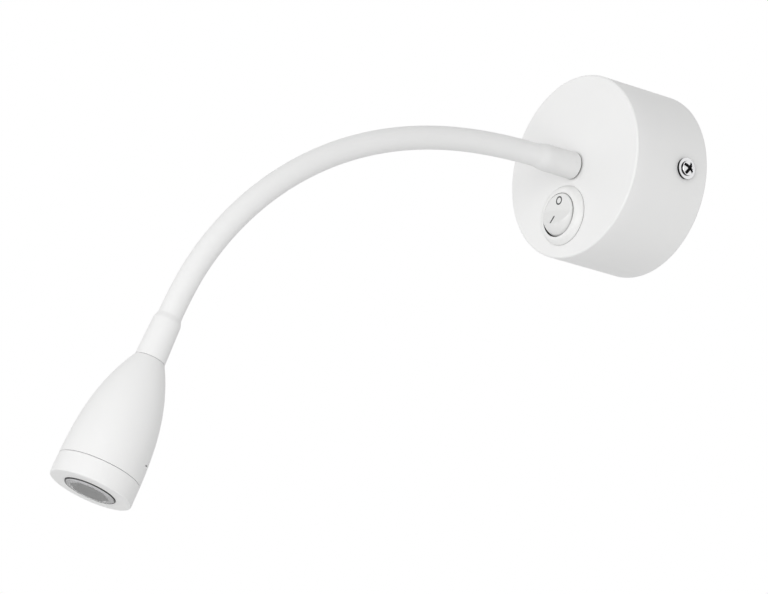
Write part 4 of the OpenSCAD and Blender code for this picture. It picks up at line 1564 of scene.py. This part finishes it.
@dataclass(frozen=True)
class SpotHead(Assembly):
    """The bell-shaped head: shell, set screw, front ring, lens and the holder round it."""

    length: float = 51.0
    front_radius: float = 15.2
    neck_radius: float = 5.6
    bell_power: float = 2.9
    ring_length: float = 7.8
    seam: float = 0.16
    seam_edge: float = 0.1
    seam_round: float = 0.08
    seam_depth: float = 0.12
    seam_shade: float = 0.9
    neck_edge: float = 0.2
    neck_round: float = 0.18
    stud_radius: float = 4.05
    stud_shoulder: float = 1.6
    stud_length: float = 8.0
    chamber: float = 12.2
    sink_height: float = 27.0
    sink_ledge: float = 1.2
    spigot: float = 4.4
    spigot_wall: float = 1.0
    spigot_edge: float = 0.2
    opening: float = 9.5
    lip: float = 1.6
    ring_edge: float = 0.6
    ring_round: float = 0.57
    opening_edge: float = 0.2
    holder: float = 10.8
    holder_back: float = 34.95
    holder_edge: float = 0.2
    holder_play: float = 0.2
    nose: float = 9.4
    nose_edge: float = 0.03
    play: float = 0.1
    lens_radius: float = 9.1
    lens_proud: float = 0.35
    border: float = 1.9
    border_rise: float = 0.25
    border_edge: float = 0.05
    lens_rim: float = 4.4
    lens_back: float = 36.1
    lens_back_radius: float = 4.6
    lens_well: float = 3.9
    lens_well_depth: float = 2.6
    lens_well_dome: float = 0.9
    screw_back: float = 7.1
    screw_hole: float = 1.53
    screw_radius: float = 1.5
    screw_end: float = 12.15
    screw_turn: float = -39.0
    screw_sunk: float = 0.02
    screw_patch: tuple[float, ...] = (-1.9, -1.2, -0.4, 0.4, 1.2, 1.85)
    slot_width: float = 0.5
    slot_depth: float = 0.8
    slot_wall: float = 0.05
    slot_turn: float = 14.0
    slot_shade: float = 0.85
    screw_cells: int = 90
    columns: int = 144
    patch_columns: int = 4
    neck_rows: int = 34
    seam_rows: int = 7
    ring_rows: int = 9
    lens_columns: int = 128
    flank_rows: int = 14
    well_rows: int = 8

    @property
    def seam_height(self) -> float:
        """Distance of the seam from the neck."""
        return self.length - self.ring_length

    @property
    def screw_height(self) -> float:
        """Distance of the set screw from the neck."""
        return self.seam_height - self.screw_back

    @property
    def lens_front(self) -> float:
        """Distance of the lens's rim from the neck."""
        return self.length + self.lens_proud

    def bell(self, z: float | Array) -> Array:
        """Radius of the bell at a distance z from the neck: r0 + (r1 - r0) (1 - (1 - z / L)^p)."""
        share = 1 - (1 - np.asarray(z) / self.length) ** self.bell_power
        return self.neck_radius + (self.front_radius - self.neck_radius) * share

    def on_bell(self, z: float) -> Corner:
        """The corner of an outline that lies on the bell."""
        return Corner(float(self.bell(z)), z)

    def shell(self) -> None:
        """Builds the shell: the bell with its set-screw hole, the spigot and the room inside."""
        seam, screw, phase = self.seam_height, self.screw_height, math.radians(self.screw_turn)
        patch = np.array(self.screw_patch) + screw
        rise = np.linspace(self.neck_edge, patch[0], self.neck_rows)[:-1]
        fall = np.linspace(patch[-1], seam - self.seam_edge, self.seam_rows)[1:]
        spigot, front = self.chamber + self.spigot_wall, seam + self.spigot
        skin = Skin(self.place)
        edges = []
        inside = ([self.sink_height], [front], constant(self.chamber))
        for below, above, radius in ((rise, fall, self.bell), inside):
            rows = (len(below), len(below) + len(patch) - 1)
            hole = WallHole(0, screw, self.screw_hole, self.patch_columns, rows)
            heights = np.concatenate([below, patch, above])
            wall = TurnedWall(heights, self.columns, phase, float(self.bell(screw)), (hole,))
            edges += wall.draw(skin, radius)
        skin.add(np.stack(edges), closed_v=True)
        seat = outline([
            self.on_bell(seam - self.seam_edge), self.on_bell(seam)._replace(q=self.seam_round),
            Corner(spigot, seam), Corner(spigot, front, self.spigot_edge), Corner(self.chamber, front),
        ], steps=4)
        neck = outline([
            self.on_bell(self.neck_edge), Corner(self.neck_radius, 0.0, self.neck_round),
            Corner(self.stud_radius, 0.0), Corner(self.stud_radius, self.stud_length),
            Corner(self.stud_radius + self.stud_shoulder, self.stud_length),
            Corner(self.chamber - self.sink_ledge, self.sink_height), Corner(self.chamber, self.sink_height),
        ], steps=4)
        # Painted shade inside the seam and on the neck's face, where the outline lies deeper than seam_depth
        # inside the bell
        for profile in (seat, neck):
            within = profile[:, 0] < profile[0, 0] - self.seam_depth
            skin.add(revolve(profile, self.columns, phase), closed_u=True, tone=self.seam_shade * within)
        self.settle(skin, "head_bell", "head", Slot.WHITE_PAINT, "head_shell")

    def set_screw(self) -> None:
        """Builds the set screw, whose outer end follows the bell.

        The end is a net drawn onto a disc. At x round the head and y along it, it lies sqrt(bell(y)^2 - x^2)
        from the head's axis, less the depth of the slot. Rings down the side and a flat inner end close it.
        """
        spot = self.place.moved((0, 0, self.screw_height)).turned(about_z=self.screw_turn)
        skin = Skin(spot.facing(np.array([0, 1.0, 0]), np.array([1.0, 0, 0])))
        x, y = disc(self.screw_radius, self.screw_cells)
        turn = math.radians(self.slot_turn)
        across = np.abs(y * math.cos(turn) - x * math.sin(turn))
        inside = np.clip((self.slot_width / 2 - across) / self.slot_wall, 0, 1)
        out = np.sqrt(self.bell(self.screw_height + y) ** 2 - x**2)
        end = np.stack([x, y, out - self.screw_sunk - self.slot_depth * inside], -1)
        # Painted shade in the slot
        skin.add(end, tone=self.slot_shade * inside)
        loop = net_edge(end)
        inner = loop * [1, 1, 0] + [0, 0, self.screw_end]
        skin.add(np.stack([loop, inner, inner * [0, 0, 1]]), closed_v=True)
        self.settle(skin, "head_set_screw", "head", Slot.WHITE_PAINT, "grub_screw")

    def ring(self) -> None:
        """Builds the front ring: the bell's last stretch with a lip in front of the lens."""
        back, front = self.seam_height + self.seam, self.length
        spigot = self.chamber + self.spigot_wall + self.play
        spigot_front = self.seam_height + self.spigot + self.play
        holder, lip = self.holder + self.holder_play, front - self.lip
        skirt = np.linspace(back + self.seam_edge, front - self.ring_edge, self.ring_rows)
        outer = np.stack([self.bell(skirt), skirt], -1)
        face = outline([
            Corner(*outer[-1]), Corner(self.front_radius, front, self.ring_round),
            Corner(self.opening, front, self.opening_edge), Corner(self.opening, lip), Corner(holder, lip),
            Corner(holder, spigot_front), Corner(spigot, spigot_front), Corner(spigot, back),
            self.on_bell(back)._replace(q=self.seam_round), Corner(*outer[0]),
        ], steps=8)
        skin = Skin(self.place)
        for profile in (outer, face):
            skin.add(revolve(profile, self.columns), closed_u=True)
        self.settle(skin, "head_front_ring", "head", Slot.WHITE_PAINT, "front_ring")

    def lens_holder(self) -> None:
        """Builds the holder: a cup with a coned bore, and a thin nose through the ring's opening."""
        front, shoulder, q = self.lens_front, self.length - self.lip - self.play, self.holder_edge
        bore, back = self.lens_radius + self.play, self.lens_back_radius + self.play
        profile = outline([
            Corner(bore, front), Corner(self.nose, front, self.nose_edge), Corner(self.nose, shoulder),
            Corner(self.holder, shoulder, q), Corner(self.holder, self.holder_back, q),
            Corner(back, self.holder_back), Corner(back, self.lens_back),
            Corner(bore, front - self.lens_rim), Corner(bore, front),
        ], steps=4)
        skin = Skin(self.place)
        skin.add(revolve(profile, self.lens_columns), closed_u=True)
        self.settle(skin, "head_lens_holder", "head", Slot.HOLDER, "lens_holder")

    def lens(self) -> None:
        """Builds the lens: a flat front, a sloping border, a round rim, a coned flank and a well for the LED.

        The well's end is a quarter of an ellipse. The border has a full tone, which frosts it.
        """
        front, rim, e = self.lens_front, self.lens_front - self.lens_rim, self.border_edge
        flat, raised = self.lens_radius - self.border, front + self.border_rise
        rear = np.array([self.lens_back_radius, self.lens_back])
        flank = loft(np.array([[self.lens_radius, rim]]), rear, np.linspace(0, 1, self.flank_rows))[:, 0]
        turn, rise = np.linspace(0, math.pi / 2, self.well_rows), self.lens_well_dome
        foot = self.lens_back + self.lens_well_depth - rise
        dome = np.stack([self.lens_well * np.cos(turn), foot + rise * np.sin(turn)], -1)
        face = outline([Corner(0.0, raised), Corner(flat - e, raised), Corner(flat, raised),
                        Corner(self.lens_radius, front, e), Corner(self.lens_radius, rim)], steps=5)
        profile = np.concatenate([face, flank, [[self.lens_well, self.lens_back]], dome])
        profile[-1, 0] = 0.0
        slope = (profile[:, 0] > flat - NEAR) & (profile[:, 1] > front - e - NEAR)
        skin = Skin(self.place)
        skin.add(revolve(profile, self.lens_columns), closed_u=True, tone=slope.astype(float))
        self.settle(skin, "head_lens", "head", Slot.LENS, "lens")

    def build(self) -> None:
        """Builds the head."""
        for part in (self.shell, self.set_screw, self.ring, self.lens_holder, self.lens):
            part()


# Stage


@dataclass(frozen=True)
class Lamp:
    """A square soft light that looks at the object."""

    name: str
    direction: Axis
    power: float
    distance: float = 2.2
    size: float = 1.6

    def build(self, target: Array) -> None:
        """Places the light.

        Args:
            target: the point that it looks at.
        """
        data = bpy.data.lights.new(self.name, "AREA")
        data.size, data.energy = self.size, self.power
        lamp = bpy.data.objects.new(self.name, data)
        way = unit(np.array(self.direction))
        lamp.location = Vector(target + self.distance * way)
        lamp.rotation_euler = Vector(-way).to_track_quat("-Z", "Y").to_euler()
        bpy.context.scene.collection.objects.link(lamp)


@dataclass(frozen=True)
class Studio:
    """Camera, soft light, white surroundings and a pale floor."""

    camera_at: Axis = (1.2530, -1.0689, -0.1908)
    azimuth: float = 52.56
    elevation: float = -4.54
    roll: float = 11.57
    lens: float = 206.25
    sensor: float = 36.0
    clip: tuple[float, float] = (0.05, 50.0)
    horizon: float = 0.64
    zenith: float = 0.58
    floor_drop: float = 0.9
    floor_size: float = 3.0
    floor_white: float = 0.8
    floor_colours: tuple[Colour, Colour] = ((0.9, 0.9, 0.9), (0.87, 0.87, 0.87))
    floor_cloud: float = 180.0
    floor_roughness: float = 0.8
    lamps: tuple[Lamp, ...] = (
        Lamp("key_light", (0.62, -0.785, 0.0), 21.5),
        Lamp("left_light", (-0.5, -0.86, 0.12), 4.3),
    )

    def camera(self) -> None:
        """Makes the camera at the photograph's angle.

        Its back points along (sin a cos e, -cos a cos e, sin e) for azimuth a and elevation e. Right and up
        are the level ones turned about that line by the roll.
        """
        a, e, r = (math.radians(x) for x in (self.azimuth, self.elevation, self.roll))
        back = np.array([math.sin(a) * math.cos(e), -math.cos(a) * math.cos(e), math.sin(e)])
        level = np.array([math.cos(a), math.sin(a), 0.0])
        right = math.cos(r) * level + math.sin(r) * np.cross(back, level)
        axes = np.stack([right, np.cross(back, right), back], -1)
        data = bpy.data.cameras.new("camera")
        data.lens, data.sensor_width, data.sensor_fit = self.lens, self.sensor, "HORIZONTAL"
        data.clip_start, data.clip_end = self.clip
        camera = bpy.data.objects.new("camera", data)
        camera.matrix_world = Matrix.Translation(self.camera_at) @ Matrix(axes.tolist()).to_4x4()
        bpy.context.scene.collection.objects.link(camera)
        bpy.context.scene.camera = camera

    def world(self) -> None:
        """Makes surroundings that light the object softly and are white where they are seen.

        The light falls off from the horizon's level to the zenith's with the height of its direction. Rays
        from the camera, and those that are mirrored or pass through the lens, see plain white.
        """
        world = bpy.data.worlds.new("surroundings")
        nodes = Nodes(world)
        direction = nodes.node("ShaderNodeTexCoord").outputs["Generated"]
        height = nodes.node("ShaderNodeSeparateXYZ", None, {0: direction}).outputs[2]
        sky = nodes.blend(Value(nodes, height), (self.horizon,) * 3, (self.zenith,) * 3)
        seen = nodes.blend(nodes.seen(), sky, WHITE[:3])
        back = nodes.node("ShaderNodeBackground", None, {"Color": seen})
        nodes.node("ShaderNodeOutputWorld", None, {"Surface": back.outputs[0]})
        bpy.context.scene.world = world

    def floor(self, low: float) -> None:
        """Makes a white floor with the object's faint shadow, which shows from above only.

        Args:
            low: the height of the object's lowest point.
        """
        half, height = self.floor_size / 2, low - self.floor_drop
        mesh = bpy.data.meshes.new("floor")
        corners = [(x * half, y * half, height) for x, y in ((-1, -1), (1, -1), (1, 1), (-1, 1))]
        mesh.from_pydata(corners, [], [(0, 1, 2, 3)])
        shader = Shader("pale_floor")
        colour = shader.blend(shader.noise(self.floor_cloud), *self.floor_colours)
        shader.dress(Base_Color=colour, Roughness=self.floor_roughness)
        clear = shader.node("ShaderNodeBsdfTransparent")
        under = shader.node("ShaderNodeNewGeometry").outputs["Backfacing"]
        white = shader.node("ShaderNodeEmission", None, {"Color": WHITE})
        seen, own = shader.seen(self.floor_white), shader.surface.outputs[0]
        shown = shader.node("ShaderNodeMixShader", None, {0: seen, 1: own, 2: white.outputs[0]})
        sides = shader.node("ShaderNodeMixShader", None, {0: under, 1: shown.outputs[0], 2: clear.outputs[0]})
        shader.plug(shader.output, {"Surface": sides.outputs[0]})
        mesh.materials.append(shader.material)
        floor = bpy.data.objects.new("floor", mesh)
        bpy.context.scene.collection.objects.link(floor)
        floor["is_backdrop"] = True

    def build(self, box: tuple[Vector, Vector]) -> None:
        """Sets the stage round the object.

        Args:
            box: the lowest and highest corner of the object.
        """
        self.camera()
        self.world()
        self.floor(box[0].z)
        for lamp in self.lamps:
            lamp.build(np.array((box[0] + box[1]) / 2))
        bpy.context.scene.view_settings.view_transform = "Standard"


# The whole light


BEND_JOINTS = ("root_bend", "root_swing", "root_bend_2", "root_swing_2", "root_bend_3", "tip_swing",
               "tip_bend", "tip_swing_2", "tip_bend_2", "tip_swing_3", "tip_bend_3")
HEAD_DROP = 72.4
HEAD_TURN = 3.6
SWITCH_TURN = 5.0


def main() -> None:
    """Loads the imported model, builds every sub-assembly in order, and notes the sizes."""
    logging.basicConfig(level=logging.INFO, format="%(name)s: %(message)s")
    for item in list(bpy.data.objects):
        bpy.data.objects.remove(item)
    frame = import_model()
    cad_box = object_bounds()
    palette = Palette()
    palette.dress_nodes(frame)
    Studio().build(cad_box)

    base = Place(np.zeros(3), np.array([1.0, 0, 0]), np.array([0, -1.0, 0]))
    cup = BaseCup(base, palette)
    cup.build()
    SideScrews(base, palette, cup).build()
    switch = base.moved((0, -cup.switch_drop, cup.depth)).turned(about_z=SWITCH_TURN)
    RockerSwitch(switch, palette).build()
    BaseWiring(base, palette, base.turned(about_z=cup.strap_turn), switch).build()

    at = {joint["name"]: np.array(joint["pos_m"]) for joint in frame["joints"]}
    bends = np.stack([at[name] for name in BEND_JOINTS])
    drop, turn = math.radians(HEAD_DROP), math.radians(HEAD_TURN)
    down, level = np.array([0, -math.cos(drop), -math.sin(drop)]), np.array([1.0, 0, 0])
    way = math.sin(turn) * level + math.cos(turn) * down
    arm = Gooseneck(MODEL, palette, bends / MM, way)
    arm.build()
    neck = Place(bends[-1] + MM * arm.last_bend * way, math.cos(turn) * level - math.sin(turn) * down, way)
    SpotHead(neck, palette).build()


if __name__ == "__main__":
    main()
